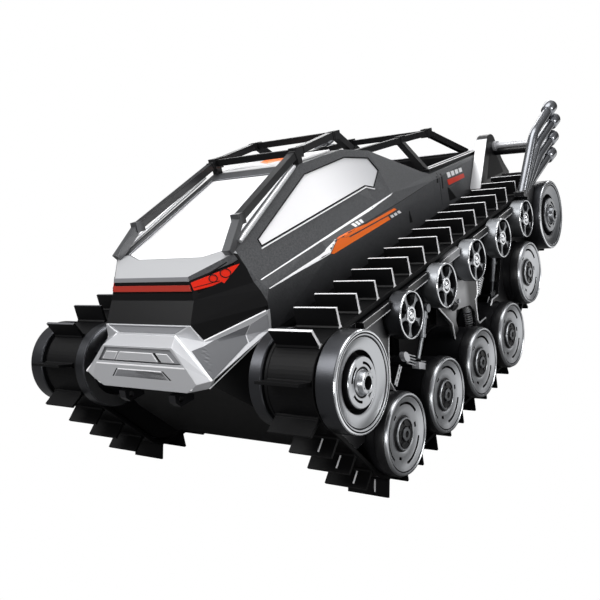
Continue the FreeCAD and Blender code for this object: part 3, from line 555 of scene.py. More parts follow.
roll = lathe([
    (83, 1.8), (83, 5), (104.2, 5), (104.2, 10.8), (83, 10.8), (83, 12.2, 3), (83.4, 12.6, 3),
    (106, 12.6, 3), (106.3, 12.8, 3), (106.3, 13.6, 3), (106.8, 14.1, 3), (114.6, 14.1, 3),
    (115.3, 14.1), (115.8, 13.9), (116, 13.5), (115.9, 13.15), (115.6, 12.95, 2), (107.6, 12.6, 2),
    (107, 12.1, 2), (107, 5.6, 2), (107.4, 5.3, 2), (114.9, 5.2), (115.4, 4.9), (115.5, 4.4),
    (115.4, 3.6, 2), (113, 3.4, 2), (113, 1.8, 2)], 80)
half = [(4.9, 2.5), (6.1, 1.3), (7.6, 0.95), (9.8, 1.05), (11.3, 1.75), (12.9, 3.1)]
spoke = prism(half + [(r, -w) for r, w in reversed(half)], "X", 111.4, 114.7)
arms = solid([spin_x(spoke, 72 * i + 36) for i in range(5)])
cap = lathe([
    (112.4, 0), (112.4, 3.1), (114.9, 3.1), (115.6, 2.85), (116.1, 2.4), (116.5, 1.7), (116.75, 0.9),
    (116.8, 0)], 40, closed=False, angle=60)
hubcap = lathe([
    (113.3, 0), (113.3, 3.1), (115.3, 3.1), (115.6, 2.8), (115.6, 1.6), (115.2, 1.4), (115.2, 0)], 40,
    closed=False)
pin = lathe([
    (114.3, 0), (114.3, 3.9), (116.2, 3.9), (116.6, 3.6), (116.6, 2, 1), (115.6, 1.7, 1), (115.6, 0, 1)], 40,
    closed=False)
stem = {n: lathe([(x0, 0), (x0, r), (x1, r), (x1, 0)], 24, closed=False) for n, x0, x1, r in
        (("front", 55.5, 113.6, 2.5), ("road", 76.5, 114.6, 2.95), ("roll", 76.5, 113, 1.75))}
WHEEL = {"bevel": 0.12, "angle": 38, "slot": "wheel_silver"}

for nm, sd in SIDES:
    for w, (y, z), tone in (("front_wheel_" + nm, (FY, FZ), "wheel"),
                            ("rear_wheel_" + nm, (RY, RZ), "wheel_dark")):
        tones = [tone, "groove", "wheel_dark", "hub_black", "barrel_dark", "chrome"]
        place(w + "_rim", big, w, tones, sd, (0, y, z), hide=(w,), **WHEEL)
        place(w + "_nuts", nuts, w, ["steel"], sd, (0, y, z))
    for i, (y, z) in enumerate(ROAD):
        w = "road_wheel_%d_%s" % (i + 1, nm)
        tones = ["wheel", "groove", "wheel", "hub_black", "wheel_dark"]
        place(w + "_disc", road, w, tones, sd, (0, y, z), hide=(w,), **WHEEL)
        place(w + "_lugs", lugs, w, ["hub_black"], sd, (0, y, z))
    for i, (y, z) in enumerate(ROLL):
        w = "return_roller_%d_%s" % (i + 1, nm)
        # painted shade: the first roller's barrel takes the dark barrel colour, the others the plain one
        tones = ["chrome", "groove", "hub_black", "barrel_dark" if i == 0 else "barrel"]
        place(w + "_rim", roll, w, tones, sd, (0, y, z), bevel=0.1, angle=38, hide=(w,), slot="roller_silver")
        place(w + "_spokes", arms, w, ["barrel"], sd, (0, y, z), bevel=0.2, angle=40)


# ---------- carried-over CAD nodes: eased edges
def ease(name, width, edge=None):
    weld = N[name].modifiers.new("weld", "WELD")
    weld.merge_threshold = 0.00002
    add_bevel(N[name], width, 30, edge)


for nm in ("body_shell", "hood", "nose_panel", "roof_panel", "cage_crossbars", "cage_rails", "rear_rails",
           "lower_hull", "rear_bed", "windscreen", "side_windows", "light_bar"):
    ease(nm, 0.35)
for nm, _ in SIDES:
    # painted highlight: the side covers' bevelled edges take the bright edge colour
    ease("side_cover_" + nm, 0.3, "bright_edge")
    ease("track_frame_" + nm, 0.3)


# ---------- trims laid on the body's skin
def tree(name):
    me = N[name].data
    return BVHTree.FromPolygons([v.co.copy() for v in me.vertices], [tuple(p.vertices) for p in me.polygons])


SKIN = tree("body_shell")


def drape(poly, lift=0.12, thick=0.3, step=(3, 1.5), skin=SKIN, mid=0):
    """Thin plate over a (y, z) polygon, laid on the body's left flank."""
    bm = bmesh.new()
    vs = [bm.verts.new((0, y, z)) for y, z in poly]
    bm.faces.new(vs)
    ys, zs = [p[0] for p in poly], [p[1] for p in poly]
    for axis, lo, hi, st in ((1, min(ys), max(ys), step[0]), (2, min(zs), max(zs), step[1])):
        c = math.ceil(lo / st) * st
        while c < hi:
            no = (0, 1, 0) if axis == 1 else (0, 0, 1)
            bmesh.ops.bisect_plane(bm, geom=bm.verts[:] + bm.edges[:] + bm.faces[:], dist=1e-5,
                                   plane_co=(0, c, 0) if axis == 1 else (0, 0, c), plane_no=no)
            c += st
    verts, idx = [], {}
    for v in bm.verts:
        idx[v] = len(verts)
        h = skin.ray_cast(mm((95, v.co.y, v.co.z)), Vector((-1, 0, 0)))
        x = h[0].x * 1000 if h[0] else 60
        n = h[1] if h[0] else Vector((1, 0, 0))
        verts.append((x + n.x * lift, v.co.y + n.y * lift, v.co.z + n.z * lift))
    faces = [tuple(idx[v] for v in f.verts) for f in bm.faces]
    rim = [(idx[e.verts[0]], idx[e.verts[1]]) for e in bm.edges if e.is_boundary]
    bm.free()
    k = len(verts)
    verts += [(x - thick, y, z) for x, y, z in verts]
    faces += [tuple(k + i for i in reversed(f)) for f in faces]
    faces += [(a, b, b + k, a + k) for a, b in rim]
    return verts, faces, mid


def slab(pts, up, down):
    """Flat plate through 3-D points, from up above their plane to down below it."""
    P = [Vector(p) for p in pts]
    n = (P[1] - P[0]).cross(P[2] - P[0]).normalized()
    return loft([tuple(p + n * up) for p in P], [tuple(p - n * down) for p in P])


def both(name, me, mats, hide=(), **kw):
    """A piece per side from a left-hand mesh; the left one stands for the CAD nodes in hide."""
    for nm, sd in SIDES:
        place(name + "_" + nm, me, "chassis", mats, sd, hide=hide if sd > 0 else (), **kw)


def pair(name, parts, mats, smooth=None, **kw):
    both(name, solid(parts, smooth), mats, **kw)


def one(name, parts, mats, **kw):
    place(name, solid(parts), "chassis", mats, **kw)


def tick_row(p, q, r, s, count, width):
    """Short bars in a row between the edges p-q and s-r."""
    cut = lambda a, b, t: (a[0] + (b[0] - a[0]) * t, a[1] + (b[1] - a[1]) * t)
    row = []
    for k in range(count):
        t0, t1 = k / count + 0.02, k / count + width
        row.append(drape([cut(p, q, t0), cut(p, q, t1), cut(s, r, t1), cut(s, r, t0)], 0.16))
    return row


# crease strips, the flash on the flank and the bars in place of lettering
strip_u = drape([(-142, 137.15), (-60, 146.85), (-20, 151.6), (6, 154.6), (9.6, 155.1), (6, 154),
                 (-20, 150.3), (-60, 146), (-142, 136.75)], 0.12)
strip_d = drape([(-142, 132.1), (-113, 134.95), (-91.2, 137), (-84.9, 137.9), (-73.4, 142.3), (-72.6, 142.1),
                 (-81.9, 135.6), (-92.9, 134.7), (-113, 133.7), (-142, 131.7)], 0.12)
pair("crease_strips", [strip_u, strip_d], ["white_trim"])
decal = [drape([(-70.6, 142.6), (-51.4, 143.7), (-34.6, 143.4), (3.5, 145.3), (7, 143.7), (-7.4, 142.7),
                (-58.4, 140.6)], 0.14),
         drape([(-80.6, 135.4), (-71, 142.4), (-58.8, 140.5), (-56.5, 139.7), (-6, 141.8), (-2.9, 139.1),
                (-77.6, 134.4)], 0.14)]
pair("flank_decal", decal, ["orange"])
ticks = tick_row((-50, 146.4), (-37.4, 147.2), (-36.6, 144.9), (-49, 144.2), 3, 0.25)
ticks += tick_row((-3.4, 141.5), (11.5, 142.4), (14.6, 140.3), (-1.4, 139.4), 3, 0.25)
ticks += tick_row((96.8, 153.3), (127.6, 152.5), (128.6, 149.2), (98.4, 149.1), 4, 0.2)
pair("flank_ticks", ticks, ["white_trim"])
ROOF = tree("roof_panel")
streak = [(2, -47), (-11, -37.5), (-14.6, -27.5), (-12.6, -21), (3, -27.5), (15.4, -43), (5.4, -40.5)]
top_z = lambda x, y: ROOF.ray_cast(mm((x, y, 230)), Vector((0, 0, -1)))[0].z * 1000
one("roof_streak", [slab([(x, y, top_z(x, y)) for x, y in streak], 0.06, 0.1)], ["orange"])
pair("rear_mark", [drape([(97, 147.9), (129, 147.3), (130, 143.9), (98.6, 143.4)], 0.16)], ["red_trim"])
dark = [drape([(25.4, 138.7), (26.4, 138.5), (29.9, 129.7), (25.4, 130.2)], 0.1),
        drape([(79.4, 153.6), (82, 153.4), (81, 148.6), (78.2, 149)], 0.1),
        drape([(87.2, 154.4), (89, 154.4), (88.6, 142.9), (87, 142.9)], 0.1),
        drape([(96.2, 141.9), (96.9, 141.8), (109.4, 131), (97.2, 131.4)], 0.1)]
pair("flank_slots", dark, ["groove"])
pair("flank_plate", [drape([(97.6, 141.6), (118, 142.4), (135.2, 132.9), (134, 131.4), (109.8, 131.2)], 0.6,
                           1)], ["body"], bevel=0.25)
seams = [drape([(83.4, 156), (83.8, 156), (83.8, 131), (83.4, 131)], 0.05, step=(3, 1)),
         drape([(-74.2, 141.3), (-74, 141.5), (12.7, 147.9), (60, 151.2), (60, 150.95), (12.7, 147.6)], 0.05)]
pair("flank_seams", seams, ["groove"])

# glass edges
GLASS = [(-126.9, 156.4), (-127, 152.6), (-13.2, 164.9), (-5.8, 162.2), (9.7, 171.3), (7.5, 180.8),
         (-14.7, 185.4), (-60.4, 182.2)]


def on_glass(y, z, out):
    """Point over the plane of the left side window."""
    x = 57 + (0.07977 * (y + 144) - 0.47944 * (z - 137)) / 0.87394
    n = Vector((0.874, -0.080, 0.479))
    return tuple(Vector((x, y, z)) + n * out)


def rim_of(pts, r):
    """Thin tubes along the sides of a polygon."""
    return [tube([pts[i], pts[(i + 1) % len(pts)]], r, 8) for i in range(len(pts))]


pair("glass_gasket", rim_of([on_glass(y, z, 0.05) for y, z in GLASS], 0.42), ["groove"])
low = [on_glass(-128.4, 151.3, 0.12), on_glass(-13.4, 163.7, 0.12), on_glass(-6, 160.9, 0.12)]
pair("glass_sill", [tube(low, 0.45, 8)], ["white_trim"])
WS = [(-25.5, -151), (25.5, -151), (39.6, -145), (31, -66.5), (-31, -66.5), (-39.6, -145)]
one("screen_gasket", rim_of([(x, y, 154 + 34.6 / 89 * (y + 148) + 0.1) for x, y in WS], 0.22), ["steel"])

# silver tube in the corner under each front rail
pair("pillar_tube", [tube([(46.2, -140, 158.6), (45.4, -134, 161.2), (38.6, -76, 184.4), (37.6, -66, 188.2)],
                          [1.1, 1.5, 1.5, 1.1], 20)], ["bright_edge"])


def band(p, d, w, h, t):
    """Flat ring block round a square rail."""
    p, d = Vector(p), Vector(d).normalized()
    s = d.cross(Vector((0, 0, 1))).normalized()
    u = s.cross(d)
    c = [p + s * (a * w / 2) + u * (b * h / 2) for a, b in ((-1, -1), (1, -1), (1, 1), (-1, 1))]
    return loft([tuple(q - d * t / 2) for q in c], [tuple(q + d * t / 2) for q in c])


KNEE, CROWN, BACK = (40.9, -131.4, 170.1), (33.8, -56.6, 196.3), (33.6, -9.2, 201)
R1, R2, R3 = (36, 92, 184.2), (37, 122, 183.6), (47, 169, 160)
bands = []
for a, b, t in ((CROWN, KNEE, 5.6), (CROWN, BACK, 5.4), (BACK, CROWN, 5.2), (R2, R1, 6), (R2, R3, 6)):
    run = Vector(b) - Vector(a)
    bands.append(band(Vector(a) + run.normalized() * t, run, 5.5, 5.1, 0.9))
pair("rail_bands", bands, ["groove"], bevel=0.12)

# hood lip and the dark band over the lamps
NOSE_TOP, NOSE_LOW = Vector((29.4, -168.4, 146.7)), Vector((33.1, -171.6, 134.2))
CHEEK_TOP, CHEEK_LOW = Vector((47, -148, 154)), Vector((57, -144, 137))
FACET_N = (NOSE_LOW - NOSE_TOP).cross(CHEEK_TOP - NOSE_TOP).normalized()


def facet(a, b, out=0):
    """Point on the lamp facet: a runs outwards, b downwards, out off the face."""
    top, low = NOSE_TOP + (CHEEK_TOP - NOSE_TOP) * a, NOSE_LOW + (CHEEK_LOW - NOSE_LOW) * a
    return top + (low - top) * b + FACET_N * out


def nose_bar(x0, y0, z0, x1, y1, z1):
    """Corners of a bar across the nose, from its upper to its lower edge."""
    return [(-x0, y0, z0), (-x1, y1, z1), (x1, y1, z1), (x0, y0, z0)]


one("hood_lip", [slab(nose_bar(29.4, -168.4, 146.7, 30.15, -169.06, 144.2), 0.5, 0.6)], ["lip_grey"],
    bevel=0.2)
one("light_bar_lens", [slab(nose_bar(30.3, -169.55, 142.3, 31.3, -170.4, 139), 0.25, 0.8)], ["red_bar"],
    bevel=0.15, hide=("light_bar",), slot="red_lens")
hood_band = [(0, 0), (0, 0.17), (0.86, 0.24), (0.975, 0.21), (0.985, 0)]
pair("hood_band", [slab([facet(*p) for p in hood_band], 0.25, 0.8)], ["body"], bevel=0.12)
lamp = [(0.02, 0.27), (0.04, 0.62), (0.34, 0.69), (0.505, 0.66), (0.53, 0.74), (0.95, 0.345), (0.86, 0.325),
        (0.475, 0.31)]
pair("lamp_lens", [slab([facet(*p) for p in lamp], 0.35, 1.6)], ["red"], bevel=0.12, hide=("headlights",))


def ring_at(a, b, r):
    """Wire ring on the lamp facet, whose sides are 29 mm and 12.9 mm or more long."""
    pts = []
    for i in range(33):
        t = 2 * math.pi * i / 32
        pts.append(facet(a + r * math.cos(t) / 29, b + r * math.sin(t) / (12.9 + 6.5 * a), 0.5))
    return tube(pts, 0.26, 6)


line = tube([facet(0.05, 0.50, 0.45), facet(0.49, 0.61, 0.45)], 0.18, 6)
pair("lamp_rings", [ring_at(0.41, 0.45, 2), ring_at(0.64, 0.44, 2.5), line], ["groove"])

# ---------- bumper, left-hand corners
# A and S scoop, F front face, T tips, N and W wings
A1, S1, F1, F2 = (33.65, -179.3, 122.5), (23.5, -181.6, 117.3), (27.5, -190, 113.6), (35.5, -191.3, 103.5)
F3, A4, T, TB = (41.5, -191.5, 94), (33.2, -191.5, 88.8), (50, -188, 95.5), (46, -187, 90.5)
NN, W1, W2 = (38, -176.5, 112.8), (62.5, -148, 121.5), (62.5, -150, 110)


def mx(p):
    return (-p[0], p[1], p[2])


def lerp(p, q, t):
    return tuple(a + (b - a) * t for a, b in zip(p, q))


def sheet(polys, depth):
    """Faceted sheet with its own thickness towards +y."""
    idx, v, f = {}, [], []
    for q in polys:
        face = []
        for p in q:
            k = tuple(round(c, 3) for c in p)
            if k not in idx:
                idx[k] = len(v)
                v.append(p)
            face.append(idx[k])
        f.append(tuple(face))
    n = len(v)
    edges = dict.fromkeys((q[i], q[(i + 1) % len(q)]) for q in f for i in range(len(q)))
    v += [(x, y + depth, z) for x, y, z in v]
    f += [tuple(n + i for i in reversed(q)) for q in f]
    return v, f + [(b, a, a + n, b + n) for a, b in edges if (b, a) not in edges], 0


def front(x, z, out=0):
    """Point on the bumper's front face, out in front of it."""
    y = F1[1] + (F2[1] - F1[1]) * min((F1[2] - z) / (F1[2] - F2[2]), 1)
    if z < F2[2]:
        y = F2[1] + (F3[1] - F2[1]) * (F2[2] - z) / (F2[2] - F3[2])
    return (x, y - out, z)


PK = [front(26, 112.5), front(33, 104.6)]


def deep(p, d):
    return (p[0] * 0.985, p[1] + d, p[2])


def recess(top, low, d):
    """The four walls of a recess, d deep, between two level edges."""
    t, b = deep(top, d), deep(low, d)
    return [(top, mx(top), mx(t), t), (low, b, mx(b), mx(low)), (top, t, b, low),
            (mx(top), mx(low), mx(b), mx(t))]


def floor_of(top, low, d):
    t, b = deep(top, d), deep(low, d)
    return [t, mx(t), mx(b), b]


# upper scoop, recessed a little between its lips
sc_t, sc_b = (31.2, *lerp(A1, S1, 0.13)[1:]), (22.6, *lerp(A1, S1, 0.86)[1:])
skin = [(A1, sc_t, sc_b, S1), (mx(A1), mx(S1), mx(sc_b), mx(sc_t)), (A1, mx(A1), mx(sc_t), sc_t),
        (S1, sc_b, mx(sc_b), mx(S1))]
skin += recess(sc_t, sc_b, 1.3)
# shelf, face round the pocket, lower face, lip
skin += [(S1, mx(S1), mx(F1), F1), (F1, mx(F1), mx(PK[0]), PK[0]), (F1, PK[0], PK[1], F2),
         (mx(F1), mx(F2), mx(PK[1]), mx(PK[0])), (PK[1], mx(PK[1]), mx(F2), F2),
         (F2, mx(F2), mx(F3), F3), (F3, mx(F3), mx(A4), A4)]
skin += [(S1, F1, T), (F1, F2, T), (F2, F3, T), (F3, TB, T), (F3, A4, TB), (A1, S1, NN), (S1, T, NN),
         (NN, T, W2), (NN, W2, W1)]
skin += [tuple(mx(p) for p in reversed(q)) for q in skin[-9:]]
one("bumper_shell", [sheet(skin, 2.6)], ["silver"], bevel=0.3, angle=14, hide=("front_bumper",),
    slot="silver_paint")
one("bumper_scoop", [slab(floor_of(sc_t, sc_b, 1.25), 0.3, 1)], ["scoop"])
POCKET = 1.7
one("bumper_pocket", [slab(floor_of(*PK, POCKET), 0.6, 0.6), sheet(recess(*PK, POCKET), 0.05)],
    ["pocket_grey"])


def face_block(pts, out, back):
    """Raised block on the front face from (x, z) corners."""
    return loft([front(x, z, out) for x, z in pts], [front(x, z, -back) for x, z in pts])


def across(z0, z1, left0, right0, left1, right1):
    """Corners of a block between two heights."""
    return [(left0, z0), (right0, z0), (right1, z1), (left1, z1)]


blocks = [face_block(across(110, 105.2, -14.6, 11.6, -18.6, 15.4), -0.35, 1.9),
          face_block(across(109.8, 105.2, -26.2, -16.4, -30.6, -20.2), -0.8, 1.9),
          face_block(across(109.8, 105.2, 13.8, 22.6, 17.6, 27.4), -0.8, 1.9)]
# painted highlight: the bevelled edges of the grille blocks take the white trim colour
one("grille_blocks", blocks, ["silver"], bevel=0.3, edge="white_trim", hide=("bumper_grille",))
one("bumper_steps", [face_block(across(103.3, 102.4, -35, 35, -35.6, 35.6), 0.1, 1),
                     face_block(across(100.4, 99.7, -17.6, 16.8, -18.2, 17.4), 0.1, 1)], ["white_trim"],
                     bevel=0.15)
inset = [(-17.8, 99.8), (17, 99.8), (21.4, 95.3), (-22, 95.4)]
one("bumper_inset", [face_block(inset, 0, 1)], ["scoop"], bevel=0.1)
one("bumper_slashes", [face_block(across(100.4, 95.4, 17.2, 18.5, 22.2, 23.6), 0.01, 1),
                       face_block(across(100.4, 95.4, -18.9, -17.9, -23.8, -22.6), 0.01, 1),
                       face_block(across(110, 105.2, 12.2, 13.4, 16, 17.4), -0.7, 1.9)], ["groove"])
# lower lip, shoulder ribs and wings
one("bumper_lip", [face_block(across(94.6, 90.2, -41.2, 41.2, -36.8, 36.8), -0.09, 2)], ["white_trim"],
    bevel=0.25)
pair("bumper_rib", [tube([S1, T], 0.75, 6)], ["white_trim"])
BUMP = tree("front_bumper")
panel = [(-182.6, 109.4), (-156.7, 115.8), (-161.8, 107.4), (-187.3, 95.9)]
outer = [(-155.9, 116.1), (-148.4, 119.6), (-149.2, 112), (-161, 107.5)]
pair("wing_panel", [drape(panel, 0.25, 0.8, (1.5, 1.5), BUMP), drape(outer, 0.2, 0.8, (1.5, 1.5), BUMP, 1)],
     ["wing_grey", "scoop"])
pair("wing_edge", [tube([lerp(NN, W1, 0.02), lerp(NN, W1, 0.98)], 0.45, 6), tube([TB, W2], 0.3, 6)],
     ["white_trim"])

# ---------- exhausts
X_EXHAUST, PIPE_R, ELBOW = 110.8, 3.55, 8
PIPES = [((116, 127), (157, 169), (196, 182.4)), ((121.5, 128.6), (161, 159.5), (201.19, 171.6)),
         ((127, 130.4), (162.5, 150), (193, 158.6)), ((132.5, 132.4), (162, 140.4), (184, 146.4))]
CUP = [(0, 3.3), (0.5, 4.6), (1.6, 5.25), (8.6, 5.5), (11, 5.6), (11.4, 5.45), (11.4, 4.75), (10.8, 4.4),
       (2.8, 4.2), (2.8, 0)]


def exhaust(foot, knee, end):
    """Pipe with a rounded elbow, and the open cup on its end."""
    A, B, C = (Vector((X_EXHAUST, *p)) for p in (foot, knee, end))
    d1, d2 = (B - A).normalized(), (C - B).normalized()
    p0, p2 = B - d1 * ELBOW, B + d2 * ELBOW
    steps = [k / 8 for k in range(9)]
    pipe = tube([A] + [p0 * (1 - t) ** 2 + B * 2 * t * (1 - t) + p2 * t * t for t in steps] + [C], PIPE_R, 28)
    start = C - d2 * 2
    u = d2.cross(Vector((1, 0, 0))).normalized()
    w = d2.cross(u)
    verts = []
    for j in range(36):
        q = 2 * math.pi * j / 36
        verts += [tuple(start + d2 * l + (u * math.cos(q) + w * math.sin(q)) * r) for l, r in CUP]
    return pipe, (verts, quads(36, len(CUP), True, False), 0)


pipes, cups = zip(*(exhaust(*p) for p in PIPES))
pair("exhaust_pipes", pipes, ["chrome_dark"], 35, hide=("exhausts",), slot="chrome_parts")
pair("exhaust_cups", cups, ["chrome_dark"], 35, slot="chrome_parts")


# ---------- fins
def smooth_poly(pts, corner):
    """Rounds the listed corners of a 2-D polygon."""
    out = []
    for i, p in enumerate(pts):
        if i not in corner:
            out.append(p)
            continue
        a, b = pts[i - 1], pts[(i + 1) % len(pts)]
        la = math.hypot(a[0] - p[0], a[1] - p[1])
        lb = math.hypot(b[0] - p[0], b[1] - p[1])
        r = min(corner[i], la * 0.48, lb * 0.48)
        s = (p[0] + (a[0] - p[0]) * r / la, p[1] + (a[1] - p[1]) * r / la)
        e = (p[0] + (b[0] - p[0]) * r / lb, p[1] + (b[1] - p[1]) * r / lb)
        for t in (j / 5 for j in range(6)):
            out.append(tuple((1 - t) ** 2 * s[k] + 2 * t * (1 - t) * p[k] + t * t * e[k] for k in (0, 1)))
    return out


def fin_mesh():
    """Fin plate with a bright front edge, a painted highlight."""
    pts = [(137.2, 132.4), (201.8, 132.4), (203.8, 135), (190, 148), (181.3, 163.6), (176.5, 170.6),
           (170, 172.6), (163.5, 170.4), (160.6, 166.8)]
    pts = smooth_poly(pts, {1: 2, 2: 2, 3: 8, 4: 4, 5: 5, 6: 5, 7: 5, 8: 3})
    v, f, _ = prism(pts, "X", 60.5, 69.9)
    ids = [0, 0]
    for p, q in zip(pts, pts[1:] + pts[:1]):
        ids.append(1 if (p[0] + q[0]) / 2 < 163 and (p[1] + q[1]) / 2 > 134 else 0)
    return raw(v, f, ids, 25)


both("fin", fin_mesh(), ["fin_black", "fin_face"], bevel=0.3, angle=40, hide=("fins",))
pair("fin_pocket", [prism([(153.5, 137), (190, 137), (175.5, 158), (170.5, 161.5), (166.5, 161.5)], "X",
                          69.6, 70)], ["groove"])
pair("fin_tube", [tube([(69, 176, 161.4), (107, 169, 161.4)], 2.6, 24)], ["silver"])
pair("fin_tube_collar", [tube([(70, 175.8, 161.2), (73.2, 175.2, 161.2)], [4.2, 4.2], 24)], ["silver"],
     bevel=0.3)
pair("fin_tube_low", [tube([(69, 177.6, 156.6), (107, 170.6, 156.6)], 3.4, 20)], ["fin_black"])


# ---------- load bed trims
def rim_bar(x0, x1, y0, y1):
    return prism([(x0, y0), (x1, y0), (x1, y1), (x0, y1)], "Z", 160.3, 160.75)


pair("bed_rim", [rim_bar(50.7, 52, 76, 170), rim_bar(56.8, 58.1, 76, 170)], ["white_trim"], bevel=0.12)
one("bed_rim_back", [rim_bar(-57, 57, 167.6, 168.8), rim_bar(-57, 57, 172.4, 173.6)], ["white_trim"],
    bevel=0.12)

# ---------- side cover
XO = 104
# bay outlines, standing just off the plate
bays = [rod(XO, q, 0.55, 8) for q in (
    [(-86, 90.4), (-92.6, 90.6), (-96.4, 88.4), (-98.6, 82.1), (-102.2, 63.5), (-95, 50.6)],
    [(-52, 92.2), (-41.6, 93.4), (-38.2, 92.6), (-13.9, 68.9), (-12, 49.6), (-18.6, 48.9)],
    [(33, 88.6), (30.4, 75.4), (26.1, 72.8), (25.9, 58), (28.3, 54.9), (45.6, 55.4), (55, 64), (65.6, 64)],
    [(57.4, 98.4), (69.2, 99.8)], [(66.4, 115), (67.2, 102.4)])]
pair("bay_outlines", bays, ["bright_edge"])


def ledge_z(y):
    """Height of the belt's lower face along the upper run."""
    return FZ + 23.04 + SLOPE * (y - FY)


# painted highlight lines on the ledge, between the rollers
highlight_lines = []
edges = [-128] + [v for y, _ in ROLL for v in (y - 12.4, y + 12.4)] + [112]
for a, b in zip(edges[::2], edges[1::2]):
    for drop, r in ((5.35, 0.6), (1.35, 0.25)):
        if b - a >= 3:
            highlight_lines.append(rod(109, [(a, ledge_z(a) - drop), (b, ledge_z(b) - drop)], r, 8))
pair("ledge_lines", highlight_lines, ["bright_edge"])
pair("stop_roller", [tube([(104.2, -12.6, 82), (107.6, -13.6, 79.8)], 3, 20)], ["hub_black"], bevel=0.3)

# ---------- dampers, comb blocks and springs
X_OUTER, X_INNER, X_SPRING = 108, 98, 97


def helix(p, q, r, turns, wire):
    """Coil of wire about the line from p to q."""
    P, Q = Vector(p), Vector(q)
    d = (Q - P).normalized()
    u = d.cross(Vector((1, 0, 0))).normalized()
    w = d.cross(u)
    n = 14 * turns
    pts = []
    for i in range(n + 1):
        a = 2 * math.pi * i / 14
        pts.append(P + (Q - P) * i / n + (u * math.cos(a) + w * math.sin(a)) * r)
    return tube(pts, wire, 7)


def damper(x, top, collar, foot):
    A, B, C = (x, *top), (x, *collar), (x, *foot)
    return [tube([A, B], 2.2, 20), tube([lerp(A, B, 0.26), lerp(A, B, 0.36)], 2.75, 20),
            tube([lerp(A, B, 0.9), lerp(A, B, 1.02)], 2.6, 20), tube([B, C], 1.5, 16),
            tube([(x - 2.9, *top), (x + 2.9, *top)], 2.6, 18)]


dampers = damper(X_OUTER, (-56.4, 93.5), (-65.1, 78), (-73.6, 67.1))
dampers += damper(X_INNER, (80.3, 90.8), (74.2, 72.3), (70.6, 65))
pair("damper", dampers, ["barrel"], 35, hide=("dampers",), slot="chrome_parts")


def teeth(x, first, last, r, sides):
    """Four round teeth between two lines, each given by its (y, z) ends."""
    first, last = [[(x, *p) for p in line] for line in (first, last)]
    return [tube([lerp(*first, k / 3), lerp(*last, k / 3)], r, sides) for k in range(4)]


def oval(y, z, ry, rz, lean_y=0, lean_z=0):
    """24 points of an oval, leaning by the two last values."""
    turns = [2 * math.pi * i / 24 for i in range(24)]
    return [(y + ry * math.cos(t) - lean_y * math.sin(t),
             z + rz * math.sin(t) - lean_z * math.cos(t)) for t in turns]


combs = [prism([(-76.9, 66.6), (-69.4, 62.9), (-70.2, 59), (-77.6, 62.4)], "X", 105.6, 110.4)]
combs += teeth(X_OUTER, ((-85.6, 74.6), (-87, 69.8)), ((-76.2, 69.6), (-77.4, 64.2)), 0.42, 8)
combs += teeth(X_OUTER, ((-70, 64.2), (-71, 60)), ((-64.2, 61.6), (-65.2, 57.4)), 0.3, 6)
combs.append(prism(oval(-88.4, 74, 3.2, 3.4, 0.6, 1.2), "X", 106.4, 109.6))
combs.append(prism(oval(73.4, 61.6, 2.5, 3.6), "X", 96, 100.2))
combs += teeth(X_INNER, ((73, 60.2), (76.2, 59.6)), ((79.4, 53.4), (82.6, 52.8)), 0.3, 6)
pins = [tube([(82, y, z), (x, y, z)], 1.7, 16) for x, y, z in ((105.8, -73.5, 63), (96.4, 72.2, 61.6))]
pair("damper_pins", pins, ["hub_black"])
pair("damper_combs", combs, ["lip_light"], bevel=0.2, angle=40)


def brace(x, a, b, w):
    """Ladder brace with crossed laces between two rails."""
    A, B = Vector((x, *a)), Vector((x, *b))
    s = Vector((1, 0, 0)).cross((B - A).normalized()) * (w / 2)
    got = [tube([A + s, B + s], 0.42, 8), tube([A - s, B - s], 0.42, 8)]
    for i in range(4):
        p, q = A + (B - A) * i / 4, A + (B - A) * (i + 1) / 4
        got += [tube([p + s, q - s], 0.26, 6), tube([p - s, q + s], 0.26, 6)]
    return got


pair("braces", brace(103.6, (-87.2, 67.8), (-96.2, 58.8), 2.4) + brace(98, (64.1, 62.2), (56.8, 57.4), 2.2),
     ["bright_edge"])
S_TOP, S_LOW = (53.4, 81.9), (42.9, 71.8)
springs = [helix((X_SPRING, *S_TOP), (X_SPRING, *S_LOW), 2.9, 9, 0.5),
           helix((X_SPRING, 26.7, 64), (X_SPRING, 26.9, 50.5), 2.9, 8, 0.5)]
# painted light: the springs take the bright edge colour, though they sit in shade inside the bay
pair("coil", springs, ["bright_edge"], 60, hide=("coil_springs",), slot="chrome_parts")
seats = [rod(X_SPRING, [(26.6, 68.2), (26.7, 63.8)], 3.3, 20),
         rod(X_SPRING, [(26.8, 50.8), (26.9, 46.9)], 3.3, 20)]
seats += [tube([(82, *p), (98.5, *p)], 2.1, 16) for p in (S_TOP, S_LOW)]
pair("coil_seats", seats, ["bright_edge"], bevel=0.3)
pair("coil_cores", [rod(X_SPRING, [S_TOP, S_LOW], 1.9, 14), rod(X_SPRING, [(26.6, 68), (26.9, 47)], 2, 14)],
     ["hub_black"])

# ---------- bolts that the idle wheels turn on
for nm, sd in SIDES:
    hidden = ("axle_bolts",) if sd > 0 else ()
    place("bolt_front_" + nm, stem["front"], "chassis", ["hub_black"], sd, (0, FY, FZ), hide=hidden)
    place("cap_front_" + nm, hubcap, "chassis", ["hub_black"], sd, (0, FY, FZ))
    for i, (y, z) in enumerate(ROAD):
        place("bolt_road_%d_%s" % (i + 1, nm), stem["road"], "chassis", ["steel"], sd, (0, y, z))
        place("pin_road_%d_%s" % (i + 1, nm), pin, "chassis", ["wheel_dark", "hub_black"], sd, (0, y, z))
    for i, (y, z) in enumerate(ROLL):
        place("bolt_roller_%d_%s" % (i + 1, nm), stem["roll"], "chassis", ["steel"], sd, (0, y, z))
        place("dome_roller_%d_%s" % (i + 1, nm), cap, "chassis", ["chrome"], sd, (0, y, z))


# ---------- floor and light
def emission(nt, strength):
    return add(nt, "Emission", {"Color": (1, 1, 1, 1), "Strength": strength})


